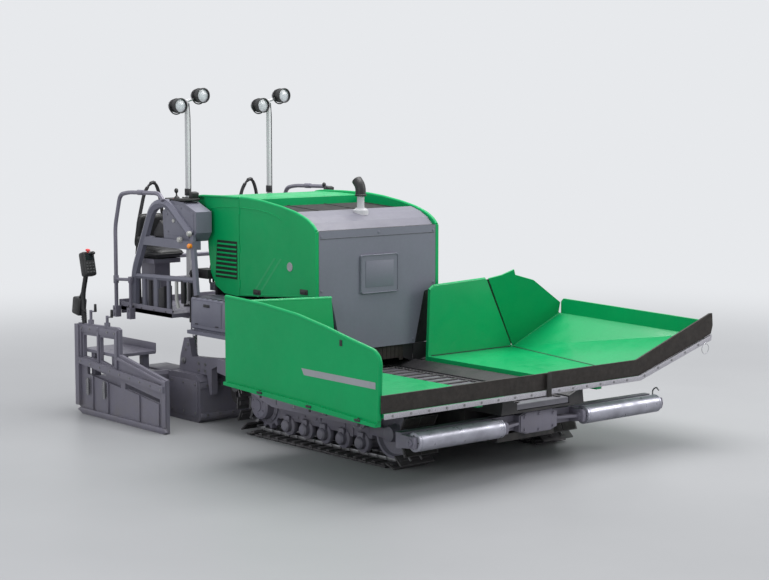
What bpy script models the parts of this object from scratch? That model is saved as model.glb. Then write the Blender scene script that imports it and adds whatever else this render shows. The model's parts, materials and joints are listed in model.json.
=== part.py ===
"""Compact tracked asphalt paver, metres, +Z up, front toward -Y, machine's left toward +X.

Design coordinates are (x, f, z): x to the machine's left, f forward from the front face
of the hood, z up from the ground. place() turns them into world coordinates.
"""
import math

import bmesh
import bpy
from mathutils import Matrix, Vector

# ---- driving dimensions -------------------------------------------------
SHIFT_X = -0.1100      # design x = 0 (machine's middle) in the world
SHIFT_Y = -0.3010      # world y of the hood's front face
GAP = 0.0005

HOOD_HALF = 0.66       # half width of the hood
HOOD_TOP = 1.704       # height of the hood's front edge
TRACK_IN, TRACK_OUT = 0.58, 0.92
TRACK_REAR, TRACK_FRONT = -0.50, 1.155   # wheel centres, forward of the hood's face
TRACK_R = 0.255
HINGE_X, HINGE_Z = 0.43, 0.565           # hopper wings' hinge line
FLOOR_LOW, FLOOR_TOP = 0.572, 0.608
HOPPER_REAR, HOPPER_FRONT = 0.10, 1.955
FOLD_REAR, FOLD_FRONT = 1.42, 1.01        # left wing's slanted fold, at the rear and at the front
PLATE_X = 1.637                           # right wing's upright side plate
ROLLER_F, ROLLER_Z, ROLLER_R = 1.911, 0.356, 0.070
PIVOT_F = 1.62                            # push beam's pivot
AUGER_F, AUGER_Z, AUGER_R = -1.02, 0.34, 0.155
TOW_F, TOW_Z = 0.95, 0.36                 # tow arms' pivots
SCREED_FRONT, SCREED_REAR = -1.28, -1.76
EXT_FRONT, EXT_REAR = -1.79, -2.36
GATE_IN, GATE_OUT = 1.385, 1.415
DECK_Z = 0.90                             # platform floor
LIFT_TOP, LIFT_LOW = (-1.63, 1.25), (-1.62, 0.50)   # lift cylinders' pins (f, z)
LIFT_X = 0.735


def place(x, f, z):
    return Vector((x + SHIFT_X, SHIFT_Y - f, z))


for old in list(bpy.data.objects):
    bpy.data.objects.remove(old, do_unlink=True)

scene = bpy.context.scene
parts = bpy.data.collections.new("asphalt_paver")
helpers = bpy.data.collections.new("cutters")
scene.collection.children.link(parts)
scene.collection.children.link(helpers)

COLOURS = {
    "green": ((0.0, 0.32, 0.10, 1), 0.35, 0.0),
    "grey": ((0.16, 0.165, 0.20, 1), 0.5, 0.1),
    "steel": ((0.22, 0.215, 0.25, 1), 0.5, 0.4),
    "dark": ((0.03, 0.03, 0.032, 1), 0.6, 0.1),
    "rubber": ((0.02, 0.019, 0.018, 1), 0.8, 0.0),
    "light": ((0.55, 0.56, 0.58, 1), 0.35, 0.6),
    "seat": ((0.015, 0.015, 0.016, 1), 0.7, 0.0),
}


def material(name, kind):
    colour, rough, metal = COLOURS[kind]
    mat = bpy.data.materials.new(name)
    mat.use_nodes = True
    shader = mat.node_tree.nodes["Principled BSDF"]
    shader.inputs["Base Color"].default_value = colour
    shader.inputs["Roughness"].default_value = rough
    shader.inputs["Metallic"].default_value = metal
    return mat


def node(name, mesh, kind, origin=None, parent=None):
    """A named part. The mesh is in world coordinates; origin moves the object's origin."""
    obj = bpy.data.objects.new(name, mesh)
    parts.objects.link(obj)
    mesh.materials.clear()
    mesh.materials.append(material(name + "_paint", kind))
    base = Vector((0, 0, 0))
    if parent is not None:
        obj.parent = parent
        base = parent.location.copy()
    if origin is not None:
        mesh.transform(Matrix.Translation(-origin))
        obj.location = origin - base
    elif parent is not None:
        mesh.transform(Matrix.Translation(-base))
    mesh.shade_smooth()
    mesh.set_sharp_from_angle(angle=math.radians(35))
    return obj


def empty(name, at):
    obj = bpy.data.objects.new(name, None)
    obj.location = at
    parts.objects.link(obj)
    return obj


# ---- shapes, all as meshes in world coordinates -------------------------
def box(x0, x1, f0, f1, z0, z1, bevel=0.0):
    bm = bmesh.new()
    bmesh.ops.create_cube(bm, size=1.0)
    centre = place((x0 + x1) / 2, (f0 + f1) / 2, (z0 + z1) / 2)
    size = Matrix.Diagonal((abs(x1 - x0), abs(f1 - f0), abs(z1 - z0), 1))
    bmesh.ops.transform(bm, matrix=Matrix.Translation(centre) @ size, verts=bm.verts)
    if bevel:
        bmesh.ops.bevel(bm, geom=bm.edges[:], offset=bevel, segments=1, affect="EDGES")
    return finished(bm)


def finished(bm):
    bmesh.ops.remove_doubles(bm, verts=bm.verts, dist=1e-5)
    bmesh.ops.recalc_face_normals(bm, faces=bm.faces)
    mesh = bpy.data.meshes.new("shape")
    bm.to_mesh(mesh)
    bm.free()
    return mesh


def curve_mesh(curve, matrix):
    """The closed mesh of a curve, welded at its caps."""
    obj = bpy.data.objects.new("guide", curve)
    scene.collection.objects.link(obj)
    obj.matrix_world = matrix
    bpy.context.view_layer.update()
    graph = bpy.context.evaluated_depsgraph_get()
    mesh = bpy.data.meshes.new_from_object(obj.evaluated_get(graph))
    bm = bmesh.new()
    bm.from_mesh(mesh)
    bmesh.ops.transform(bm, matrix=obj.matrix_world, verts=bm.verts)
    bpy.data.objects.remove(obj, do_unlink=True)
    return finished(bm)


AXES = {
    # outline axes (first, second) and direction of extrusion, as world vectors
    "x": (Vector((0, -1, 0)), Vector((0, 0, 1)), Vector((-1, 0, 0))),
    "f": (Vector((1, 0, 0)), Vector((0, 0, 1)), Vector((0, -1, 0))),
    "z": (Vector((1, 0, 0)), Vector((0, -1, 0)), Vector((0, 0, -1))),
}


def outline(axis, rings, low, high):
    """Flat outline, with any further rings as holes, extruded from low to high along x, f or z."""
    if not isinstance(rings[0][0], (tuple, list)):
        rings = [rings]
    curve = bpy.data.curves.new("outline", "CURVE")
    curve.dimensions = "2D"
    curve.fill_mode = "BOTH"
    curve.extrude = (high - low) / 2
    for ring in rings:
        spline = curve.splines.new("POLY")
        spline.points.add(len(ring) - 1)
        for point, (a, b) in zip(spline.points, ring):
            point.co = (a, b, 0, 1)
        spline.use_cyclic_u = True
    first, second, third = AXES[axis]
    turn = Matrix((first, second, third)).transposed().to_4x4()
    middle = (low + high) / 2
    origin = {"x": place(middle, 0, 0), "f": place(0, middle, 0), "z": place(0, 0, middle)}[axis]
    return curve_mesh(curve, Matrix.Translation(origin) @ turn)


def tube(points, radius, sides=1, cyclic=False):
    """Round bar or tube through points given as (x, f, z)."""
    curve = bpy.data.curves.new("tube", "CURVE")
    curve.dimensions = "3D"
    curve.bevel_depth = radius
    curve.bevel_resolution = sides
    curve.use_fill_caps = True
    spline = curve.splines.new("POLY")
    spline.points.add(len(points) - 1)
    for point, co in zip(spline.points, points):
        point.co = (*place(*co), 1)
    spline.use_cyclic_u = cyclic
    return curve_mesh(curve, Matrix.Identity(4))


def rounded(points, radius, steps=4):
    """The same path with each inner corner rounded."""
    out = [Vector(points[0])]
    for a, b, c in zip(points, points[1:], points[2:]):
        a, b, c = Vector(a), Vector(b), Vector(c)
        start = b + (a - b).normalized() * radius
        end = b + (c - b).normalized() * radius
        for i in range(steps + 1):
            t = i / steps
            out.append((1 - t) ** 2 * start + 2 * t * (1 - t) * b + t * t * end)
    out.append(Vector(points[-1]))
    return [tuple(p) for p in out]


def cylinder(axis, x, f, z, radius, low, high, segments=24):
    """Solid cylinder along x, f or z, between low and high on that axis."""
    bm = bmesh.new()
    bmesh.ops.create_cone(bm, cap_ends=True, segments=segments, radius1=radius, radius2=radius, depth=1.0)
    turn = {"x": Matrix.Rotation(math.pi / 2, 4, "Y"), "f": Matrix.Rotation(math.pi / 2, 4, "X"), "z": Matrix.Identity(4)}[axis]
    middle = (low + high) / 2
    centre = {"x": place(middle, f, z), "f": place(x, middle, z), "z": place(x, f, middle)}[axis]
    stretch = Matrix.Diagonal((1, 1, high - low, 1))
    bmesh.ops.transform(bm, matrix=Matrix.Translation(centre) @ turn @ stretch, verts=bm.verts)
    return finished(bm)


def turned(profile, at, steps=20):
    """Profile of (radius, height) pairs, run top to bottom on its outer side, turned about +Z at a point."""
    curve = bpy.data.meshes.new("profile")
    bm = bmesh.new()
    verts = [bm.verts.new((r, 0, h)) for r, h in profile]
    for a, b in zip(verts, verts[1:]):
        bm.edges.new((a, b))
    bm.to_mesh(curve)
    bm.free()
    obj = bpy.data.objects.new("turning", curve)
    scene.collection.objects.link(obj)
    screw = obj.modifiers.new("screw", "SCREW")
    screw.steps = screw.render_steps = steps
    screw.use_merge_vertices = True
    screw.merge_threshold = 0.0001
    bpy.context.view_layer.update()
    graph = bpy.context.evaluated_depsgraph_get()
    mesh = bpy.data.meshes.new_from_object(obj.evaluated_get(graph))
    bpy.data.objects.remove(obj, do_unlink=True)
    bm = bmesh.new()
    bm.from_mesh(mesh)
    bmesh.ops.transform(bm, matrix=Matrix.Translation(at), verts=bm.verts)
    return finished(bm)


def combine(base, others, operation="UNION"):
    """The base shape joined with, or cut by, the others."""
    obj = bpy.data.objects.new("joined", base)
    scene.collection.objects.link(obj)
    made = [obj]
    for index, other in enumerate(others):
        tool = bpy.data.objects.new("tool", other)
        helpers.objects.link(tool)
        tool.hide_render = True
        tool.display_type = "WIRE"
        made.append(tool)
        step = obj.modifiers.new(f"step{index}", "BOOLEAN")
        step.operation = operation
        step.object = tool
    bpy.context.view_layer.update()
    graph = bpy.context.evaluated_depsgraph_get()
    mesh = bpy.data.meshes.new_from_object(obj.evaluated_get(graph))
    for item in made:
        bpy.data.objects.remove(item, do_unlink=True)
    bm = bmesh.new()
    bm.from_mesh(mesh)
    bmesh.ops.remove_doubles(bm, verts=bm.verts, dist=1e-5)
    bmesh.ops.dissolve_degenerate(bm, dist=1e-5, edges=bm.edges)
    mesh = bpy.data.meshes.new("shape")
    bm.to_mesh(mesh)
    bm.free()
    return mesh


def union(base, *others):
    return combine(base, others, "UNION")


def cut(base, *others):
    return combine(base, others, "DIFFERENCE")


def mirrored(points, side):
    return [(side * p[0], *p[1:]) for p in points]


def span(side, a, b):
    """A pair of x values for one side of the machine, low first."""
    return (a, b) if side > 0 else (-b, -a)


def plate3(corners, thickness):
    """Flat plate on coplanar corners (x, f, z), thickened both ways by Solidify."""
    mesh = bpy.data.meshes.new("plate")
    bm = bmesh.new()
    bm.faces.new([bm.verts.new(place(*c)) for c in corners])
    bm.to_mesh(mesh)
    bm.free()
    obj = bpy.data.objects.new("plate", mesh)
    scene.collection.objects.link(obj)
    solid = obj.modifiers.new("thick", "SOLIDIFY")
    solid.thickness = thickness
    solid.offset = 0
    bpy.context.view_layer.update()
    graph = bpy.context.evaluated_depsgraph_get()
    made = bpy.data.meshes.new_from_object(obj.evaluated_get(graph))
    bpy.data.objects.remove(obj, do_unlink=True)
    bm = bmesh.new()
    bm.from_mesh(made)
    return finished(bm)


SIDES = (("left", 1), ("right", -1))

# ---- chassis ------------------------------------------------------------
# Welded channel between the tracks: the conveyor lies in it, the wings hinge on its lips.
channel = [(-0.42, 0.57), (-0.44, 0.20), (0.44, 0.20), (0.42, 0.57), (0.40, 0.57), (0.275, 0.525),
           (0.275, 0.465), (-0.275, 0.465), (-0.275, 0.525), (-0.40, 0.57)]
chassis = outline("f", channel, -0.82, 1.52)
chassis = union(
    chassis,
    box(-0.30, 0.30, 1.50, 1.74, 0.205, 0.262),            # lower jaw of the push beam's pivot
    cylinder("z", 0, PIVOT_F, 0, 0.035, 0.24, 0.46, 20),        # pivot pin
    outline("f", [(-0.42, 0.57), (-0.435, 0.45), (0.435, 0.45), (0.42, 0.57), (0.40, 0.57), (0.275, 0.525), (0.275, 0.468), (-0.275, 0.468), (-0.275, 0.525), (-0.40, 0.57)], 1.51, 1.925),
    box(-0.58, 0.58, 0.95, 1.07, 0.24, 0.34),
    box(-0.58, 0.58, -0.20, -0.08, 0.24, 0.34),
)
node("chassis_frame", chassis, "dark")

node("conveyor_bed", box(-0.2745, 0.2745, -0.86, 1.92, 0.4705, 0.515, 0.004), "steel")

# Cover over the conveyor tunnel, carried on the channel; the engine and the deck stand on it.
tunnel = outline("f", [(-0.56, 0.705), (-0.56, 0.665), (-0.40, 0.665), (-0.40, 0.5705), (-0.365, 0.5705), (-0.29, 0.60), (-0.29, 0.668),
                       (0.29, 0.668), (0.29, 0.60), (0.365, 0.5705), (0.40, 0.5705), (0.40, 0.665), (0.56, 0.665), (0.56, 0.705)], -0.82, -0.035)
tunnel = union(tunnel, box(-0.55, 0.55, -1.50, -0.78, 0.672, 0.702))
node("tunnel_cover", tunnel, "dark")

node("engine_block", box(-0.34, 0.34, -1.18, -0.40, 0.7055, 1.34, 0.03), "dark")

# ---- running gear -------------------------------------------------------
def stadium(radius, rear, front, steps):
    pts = []
    for i in range(steps + 1):
        a = -math.pi / 2 + math.pi * i / steps
        pts.append((front + radius * math.cos(a), TRACK_R + radius * math.sin(a)))
    for i in range(steps + 1):
        a = math.pi / 2 + math.pi * i / steps
        pts.append((rear + radius * math.cos(a), TRACK_R + radius * math.sin(a)))
    return pts


def track_outer():
    """Outer outline of the belt: flat shoes with a groove between each pair."""
    straight = TRACK_FRONT - TRACK_REAR
    arc = math.pi * TRACK_R
    total = 2 * straight + 2 * arc
    shoes = 44
    groove = 0.020

    def at(s, r):
        s %= total
        if s < straight:
            return (TRACK_REAR + s, TRACK_R - r)
        s -= straight
        if s < arc:
            a = -math.pi / 2 + s / TRACK_R
            return (TRACK_FRONT + r * math.cos(a), TRACK_R + r * math.sin(a))
        s -= arc
        if s < straight:
            return (TRACK_FRONT - s, TRACK_R + r)
        s -= straight
        a = math.pi / 2 + s / TRACK_R
        return (TRACK_REAR + r * math.cos(a), TRACK_R + r * math.sin(a))

    pitch = total / shoes
    pts = []
    for i in range(shoes):
        s = i * pitch
        pts += [at(s + 0.004, TRACK_R - groove), at(s + 0.008, TRACK_R), at(s + pitch - 0.012, TRACK_R), at(s + pitch - 0.008, TRACK_R - groove)]
    return pts


for side_name, side in SIDES:
    x0, x1 = span(side, TRACK_IN, TRACK_OUT)
    belt = outline("x", [track_outer(), stadium(0.195, TRACK_REAR, TRACK_FRONT, 16)], x0, x1)
    node(f"track_{side_name}", belt, "rubber")
    # Beam inside the belt, with its drive wheel, idler and rollers.
    frame = box(*span(side, 0.64, 0.86), -0.20, 0.86, 0.17, 0.36, 0.01)
    pieces = [
        box(*span(side, 0.5805, 0.70), 0.95, 1.07, 0.24, 0.34),
        box(*span(side, 0.5805, 0.70), -0.20, -0.08, 0.24, 0.34),
        box(*span(side, 0.70, 0.80), 0.84, 1.10, 0.20, 0.32),
        box(*span(side, 0.68, 0.82), -0.40, -0.15, 0.18, 0.34),
        cylinder("x", 0, TRACK_REAR, TRACK_R, 0.188, *span(side, 0.62, 0.88), 24),
        cylinder("x", 0, TRACK_FRONT, TRACK_R, 0.188, *span(side, 0.62, 0.88), 24),
    ]
    for i in range(5):
        pieces.append(cylinder("x", 0, -0.13 + i * 0.235, 0.150, 0.082, *span(side, 0.60, 0.90), 14))
    pieces.append(cylinder("x", 0, 0.33, 0.395, 0.050, *span(side, 0.62, 0.88), 12))
    node(f"track_frame_{side_name}", union(frame, *pieces), "steel")

    # Box over the track that carries tanks and the fender's edge.
    side_box = union(
        box(*span(side, 0.565, 0.90), -1.44, -0.06, 0.805, 1.075, 0.012),
        box(*span(side, 0.565, 0.925), -1.46, 0.02, 0.76, 0.79),
        box(*span(side, 0.58, 0.88), -1.42, -0.08, 0.78, 0.83),
    )
    node(f"side_box_{side_name}", side_box, "grey")

# ---- hood ---------------------------------------------------------------
face = [(-0.625, HOOD_TOP), (0.625, HOOD_TOP), (0.625, 1.176), (0.50, 1.15), (0.395, 0.715), (-0.395, 0.715), (-0.50, 1.15), (-0.625, 1.176)]
front = union(outline("f", face, -0.030, 0.0), box(-0.20, 0.20, -0.01, 0.012, 1.17, 1.49, 0.006))
node("hood_front", front, "grey")

top = outline("x", [(-0.031, 1.66), (-0.031, 1.7035), (-0.10, 1.765), (-0.19, 1.810), (-0.31, 1.846), (-0.31, 1.800), (-0.19, 1.765), (-0.10, 1.72), (-0.06, 1.66)], -0.6220, 0.6220)
node("hood_top", top, "light")
grille = outline("x", [(-0.312, 1.735), (-0.312, 1.800), (-0.978, 1.835), (-0.978, 1.735)], -0.6220, 0.6220)
node("cooling_grille", grille, "dark")
DOOR_REAR = -1.046
top_edge = [(-1.57, 1.922), (-1.30, 1.932), (-1.00, 1.930), (-0.72, 1.912), (-0.47, 1.878), (-0.28, 1.842), (-0.13, 1.795), (-0.05, 1.748), (0.0, 1.700)]
low_edge = [(0.0, 1.176), (-0.30, 1.150), (-1.10, 1.095), (-1.28, 1.105), (-1.40, 1.16), (-1.475, 1.27), (-1.51, 1.48), (-1.53, 1.79)]


def height_at(edge, f):
    """Height of an edge of the hood's side at a place along the machine."""
    edge = sorted(edge)
    for (f0, z0), (f1, z1) in zip(edge, edge[1:]):
        if f0 <= f <= f1:
            return z0 + (z1 - z0) * (f - f0) / (f1 - f0)
    raise ValueError(f)


door_shape = [p for p in low_edge if p[0] > DOOR_REAR] + [(DOOR_REAR, height_at(low_edge, DOOR_REAR)), (DOOR_REAR, height_at(top_edge, DOOR_REAR))] + [p for p in top_edge if p[0] > DOOR_REAR]
fixed_f = DOOR_REAR - 0.006
fixed_shape = [(fixed_f, height_at(low_edge, fixed_f))] + [p for p in low_edge if p[0] < fixed_f] + [p for p in top_edge if p[0] < fixed_f] + [(fixed_f, height_at(top_edge, fixed_f))]
cowl = outline("x", [(-1.062, 1.862), (-1.062, 1.918), (-1.30, 1.924), (-1.60, 1.922), (-1.70, 1.912), (-1.735, 1.87), (-1.68, 1.81), (-1.60, 1.80), (-1.56, 1.86), (-1.35, 1.89)], -0.64, 0.64)
cowl = union(cowl, outline("x", [(-0.981, 1.735), (-0.981, 1.915), (-1.09, 1.9175), (-1.09, 1.867), (-1.02, 1.862), (-1.015, 1.735)], -0.6220, 0.6220))
cowl = union(cowl, outline("x", fixed_shape, 0.628, HOOD_HALF), outline("x", fixed_shape, -HOOD_HALF, -0.628))
node("hood_rear_cover", cowl, "green")

bulkhead = box(-0.60, 0.60, -1.50, -1.47, 0.7055, 1.835)
brackets = [box(-0.56, 0.56, -1.555, -1.49, 0.72, 0.80)]
for side_name, side in SIDES:
    brackets.append(box(*span(side, 0.57, 0.69), -1.665, -1.48, 1.21, 1.29))
    brackets.append(cylinder("x", 0, LIFT_TOP[0], LIFT_TOP[1], 0.014, *span(side, 0.68, 0.772), 12))
node("bulkhead", union(bulkhead, *brackets), "dark")

for side_name, side in SIDES:
    hinge = empty(f"hood_hinge_{side_name}", place(side * HOOD_HALF, DOOR_REAR, 1.4))
    x0, x1 = span(side, 0.628, HOOD_HALF)
    node(f"hood_door_{side_name}", outline("x", door_shape, x0, x1), "green", origin=hinge.location.copy(), parent=hinge)

pipe = cylinder("z", 0.0, -0.235, 0, 0.030, 1.844, 1.98, 20)
flange = cylinder("z", 0.0, -0.235, 0, 0.055, 1.843, 1.855, 20)
cap = tube(rounded([(0.0, -0.235, 1.945), (0.0, -0.235, 2.02), (0.0, -0.285, 2.085)], 0.04), 0.050, 3)
node("exhaust_pipe", union(pipe, flange, cap), "light")

# ---- hopper wings -------------------------------------------------------
left_hinge = empty("wing_hinge_left", place(HINGE_X, 1.0, HINGE_Z))
right_hinge = empty("wing_hinge_right", place(-HINGE_X, 1.0, HINGE_Z))


def wing_node(name, mesh, kind, side):
    hinge = left_hinge if side > 0 else right_hinge
    return node(name, mesh, kind, origin=hinge.location.copy(), parent=hinge)


# left: flat floor, then the outer panel laid out up to an upright rim


def fold(f):
    """Where the slanted fold of the left wing lies at a place along the machine."""
    return FOLD_REAR + (FOLD_FRONT - FOLD_REAR) * (f - HOPPER_REAR) / (HOPPER_FRONT - HOPPER_REAR)


floor_l = outline("z", [(HINGE_X, HOPPER_REAR), (FOLD_REAR, HOPPER_REAR), (FOLD_FRONT, HOPPER_FRONT), (HINGE_X, HOPPER_FRONT)], FLOOR_LOW, FLOOR_TOP)
floor_l = union(floor_l, box(0.006, FOLD_FRONT - 0.006, 1.9605, 1.978, 0.575, 0.606), box(HINGE_X + 0.01, FOLD_FRONT - 0.012, 1.94, 1.97, 0.578, 0.603))
wing_node("wing_floor_left", floor_l, "green", 1)


def warped(corners, drop):
    """Four-cornered sheet whose top corners are given as (x, f, z), with its underside straight below."""
    bm = bmesh.new()
    up = [bm.verts.new(place(*c)) for c in corners]
    low = [bm.verts.new(place(c[0], c[1], c[2] - drop)) for c in corners]
    bm.faces.new((up[0], up[1], up[2]))
    bm.faces.new((up[0], up[2], up[3]))
    bm.faces.new((low[0], low[2], low[1]))
    bm.faces.new((low[0], low[3], low[2]))
    for i in range(4):
        j = (i + 1) % 4
        bm.faces.new((up[i], low[i], low[j], up[j]))
    return finished(bm)


panel = warped([(fold(0.136) + 0.0008, 0.136, FLOOR_TOP), (1.803, 0.352, 0.905), (1.803, 1.945, 0.868), (fold(1.945) + 0.0008, 1.945, FLOOR_TOP)], 0.034)
rim = outline("x", [(0.352, 0.868), (1.945, 0.832), (1.945, 0.975), (1.90, 0.982), (0.38, 1.022), (0.352, 0.995)], 1.788, 1.812)
wing_node("wing_panel_left", union(panel, rim), "green", 1)

back_l = outline("f", [(HINGE_X + 0.002, FLOOR_TOP + GAP), (1.405, FLOOR_TOP + GAP), (1.100, 1.218), (0.50, 1.195), (0.455, 1.17)], HOPPER_REAR, HOPPER_REAR + 0.030)
wing_node("wing_back_left", back_l, "green", 1)

# rear corner of the left wing: a plate from the back wall's slanted edge to the rim
corner_a, corner_b, corner_c = Vector((1.420, 0.118, 0.625)), Vector((1.121, 0.118, 1.222)), Vector((1.785, 0.347, 0.985))
normal = (corner_b - corner_a).cross(corner_c - corner_a)


def on_corner(x, z):
    f = corner_a.y - (normal.x * (x - corner_a.x) + normal.z * (z - corner_a.z)) / normal.y
    return (x, f, z)


corner = plate3([on_corner(1.436, 0.590), on_corner(1.128, 1.222), on_corner(1.24, 1.250), on_corner(1.335, 1.295), on_corner(1.352, 1.248), on_corner(1.52, 1.195), on_corner(1.780, 0.990), on_corner(1.780, 0.868)], 0.018)
wing_node("wing_corner_left", corner, "green", 1)

# rubber flap with the bend
flap_l = outline("f", [(0.006, 0.612), (1.000, 0.612), (1.860, 0.870), (1.880, 0.935), (1.872, 1.035), (1.845, 1.035), (0.972, 0.738), (0.006, 0.738)], 1.9605, 1.977)
wing_node("lip_left", flap_l, "rubber", 1)
strip = outline("f", [(1.0125, 0.572), (1.850, 0.818), (1.858, 0.862), (1.0125, 0.609)], 1.9605, 1.985)
wing_node("lip_bar_left", strip, "light", 1)

# right: flat floor and the upright side plate
floor_r = outline("f", [(-1.606, FLOOR_LOW), (-HINGE_X, FLOOR_LOW), (-HINGE_X, FLOOR_TOP), (-1.606, FLOOR_TOP)], 0.13, HOPPER_FRONT)
floor_r = union(floor_r, box(-1.604, -0.006, 1.984, 2.012, 0.575, 0.606), box(-1.602, -HINGE_X - 0.01, 1.94, 1.99, 0.578, 0.603))
wing_node("wing_floor_right", floor_r, "green", -1)
side_plate = [(0.129, 0.611), (0.60, 0.600), (1.25, 0.580), (1.946, 0.536), (1.960, 0.96), (1.945, 1.00), (1.90, 1.038), (1.613, 1.093),
              (1.364, 1.146), (1.02, 1.205), (0.608, 1.243), (0.129, 1.263)]
plate = outline("x", side_plate, -PLATE_X, -1.607)
plate = union(plate, outline("x", [(0.129, 0.611), (0.60, 0.600), (1.25, 0.580), (1.946, 0.536), (1.946, 0.511), (0.129, 0.586)], -1.660, -1.607))
wing_node("wing_side_right", plate, "green", -1)
back_r = outline("f", [(-1.606, FLOOR_TOP + GAP), (-HINGE_X - 0.002, FLOOR_TOP + GAP), (-0.455, 0.70), (-0.60, 0.92), (-0.625, 1.178), (-1.606, 1.215)], 0.131, 0.160)
wing_node("wing_back_right", back_r, "green", -1)
flap_r = outline("f", [(-1.640, 0.612), (-0.006, 0.612), (-0.006, 0.738), (-1.640, 0.738)], 1.984, 2.001)
wing_node("lip_right", flap_r, "rubber", -1)

# ---- push rollers -------------------------------------------------------
push_pivot = empty("push_pivot", place(0, PIVOT_F, ROLLER_Z))
beam = outline("z", [(-1.31, 1.755), (-0.30, 1.73), (-0.14, 1.55), (0.14, 1.55), (0.30, 1.73), (1.31, 1.755), (1.31, 1.815), (-1.31, 1.815)], 0.30, 0.415)
beam = union(
    beam,
    outline("f", [(-0.20, 0.295), (-0.13, 0.272), (0.13, 0.272), (0.20, 0.295), (0.20, 0.415), (0.13, 0.44), (-0.13, 0.44), (-0.20, 0.415)], 1.79, 1.87),
    box(-0.425, -0.398, 1.79, 1.945, 0.31, 0.405), box(0.398, 0.425, 1.79, 1.945, 0.31, 0.405),
    box(-1.308, -1.282, 1.79, 1.95, 0.315, 0.40), box(1.282, 1.308, 1.79, 1.95, 0.315, 0.40),
)
beam = cut(beam, cylinder("z", 0, PIVOT_F, 0, 0.037, 0.25, 0.47, 20))
node("push_beam", beam, "steel", origin=push_pivot.location.copy(), parent=push_pivot)
for side_name, side in SIDES:
    x0, x1 = span(side, 0.434, 1.274)
    roller = cylinder("x", 0, ROLLER_F, ROLLER_Z, ROLLER_R, x0, x1, 24)
    node(f"push_roller_{side_name}", roller, "light", origin=place(side * 0.85, ROLLER_F, ROLLER_Z))

# ---- auger --------------------------------------------------------------
gear = union(
    box(-0.055, 0.055, AUGER_F - 0.07, AUGER_F + 0.07, 0.24, 0.655),
    cylinder("x", 0, AUGER_F, AUGER_Z, 0.085, -0.05, 0.05, 20),
    box(-0.20, 0.20, AUGER_F - 0.09, AUGER_F + 0.09, 0.63, 0.6645),
)
node("auger_gearbox", gear, "dark")


def flight(side, start, length, turns, per_turn=14, thick=0.012):
    """Screw blade: a rectangle carried round the shaft, capped at both ends."""
    bm = bmesh.new()
    steps = int(turns * per_turn)
    rings = []
    for i in range(steps + 1):
        a = 2 * math.pi * turns * i / steps
        x = start + length * i / steps
        ring = []
        for radius, dx in ((0.030, 0), (AUGER_R, 0), (AUGER_R, thick), (0.030, thick)):
            ring.append(bm.verts.new(place(side * (x + dx), AUGER_F + radius * math.cos(a), AUGER_Z + radius * math.sin(a))))
        rings.append(ring)
    for one, two in zip(rings, rings[1:]):
        for k in range(4):
            bm.faces.new((one[k], one[(k + 1) % 4], two[(k + 1) % 4], two[k]))
    bm.faces.new(rings[0])
    bm.faces.new(rings[-1][::-1])
    return finished(bm)


for side_name, side in SIDES:
    shaft = cylinder("x", 0, AUGER_F, AUGER_Z, 0.040, *span(side, 0.060, 0.745), 14)
    screw = union(shaft, flight(side, 0.075, 0.64, 2.75))
    node(f"auger_{side_name}", screw, "steel", origin=place(side * 0.40, AUGER_F, AUGER_Z))

# ---- screed -------------------------------------------------------------
lift = empty("screed_lift", place(0, TOW_F, TOW_Z))


def screed_node(name, mesh, kind):
    return node(name, mesh, kind, origin=lift.location.copy(), parent=lift)


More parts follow.
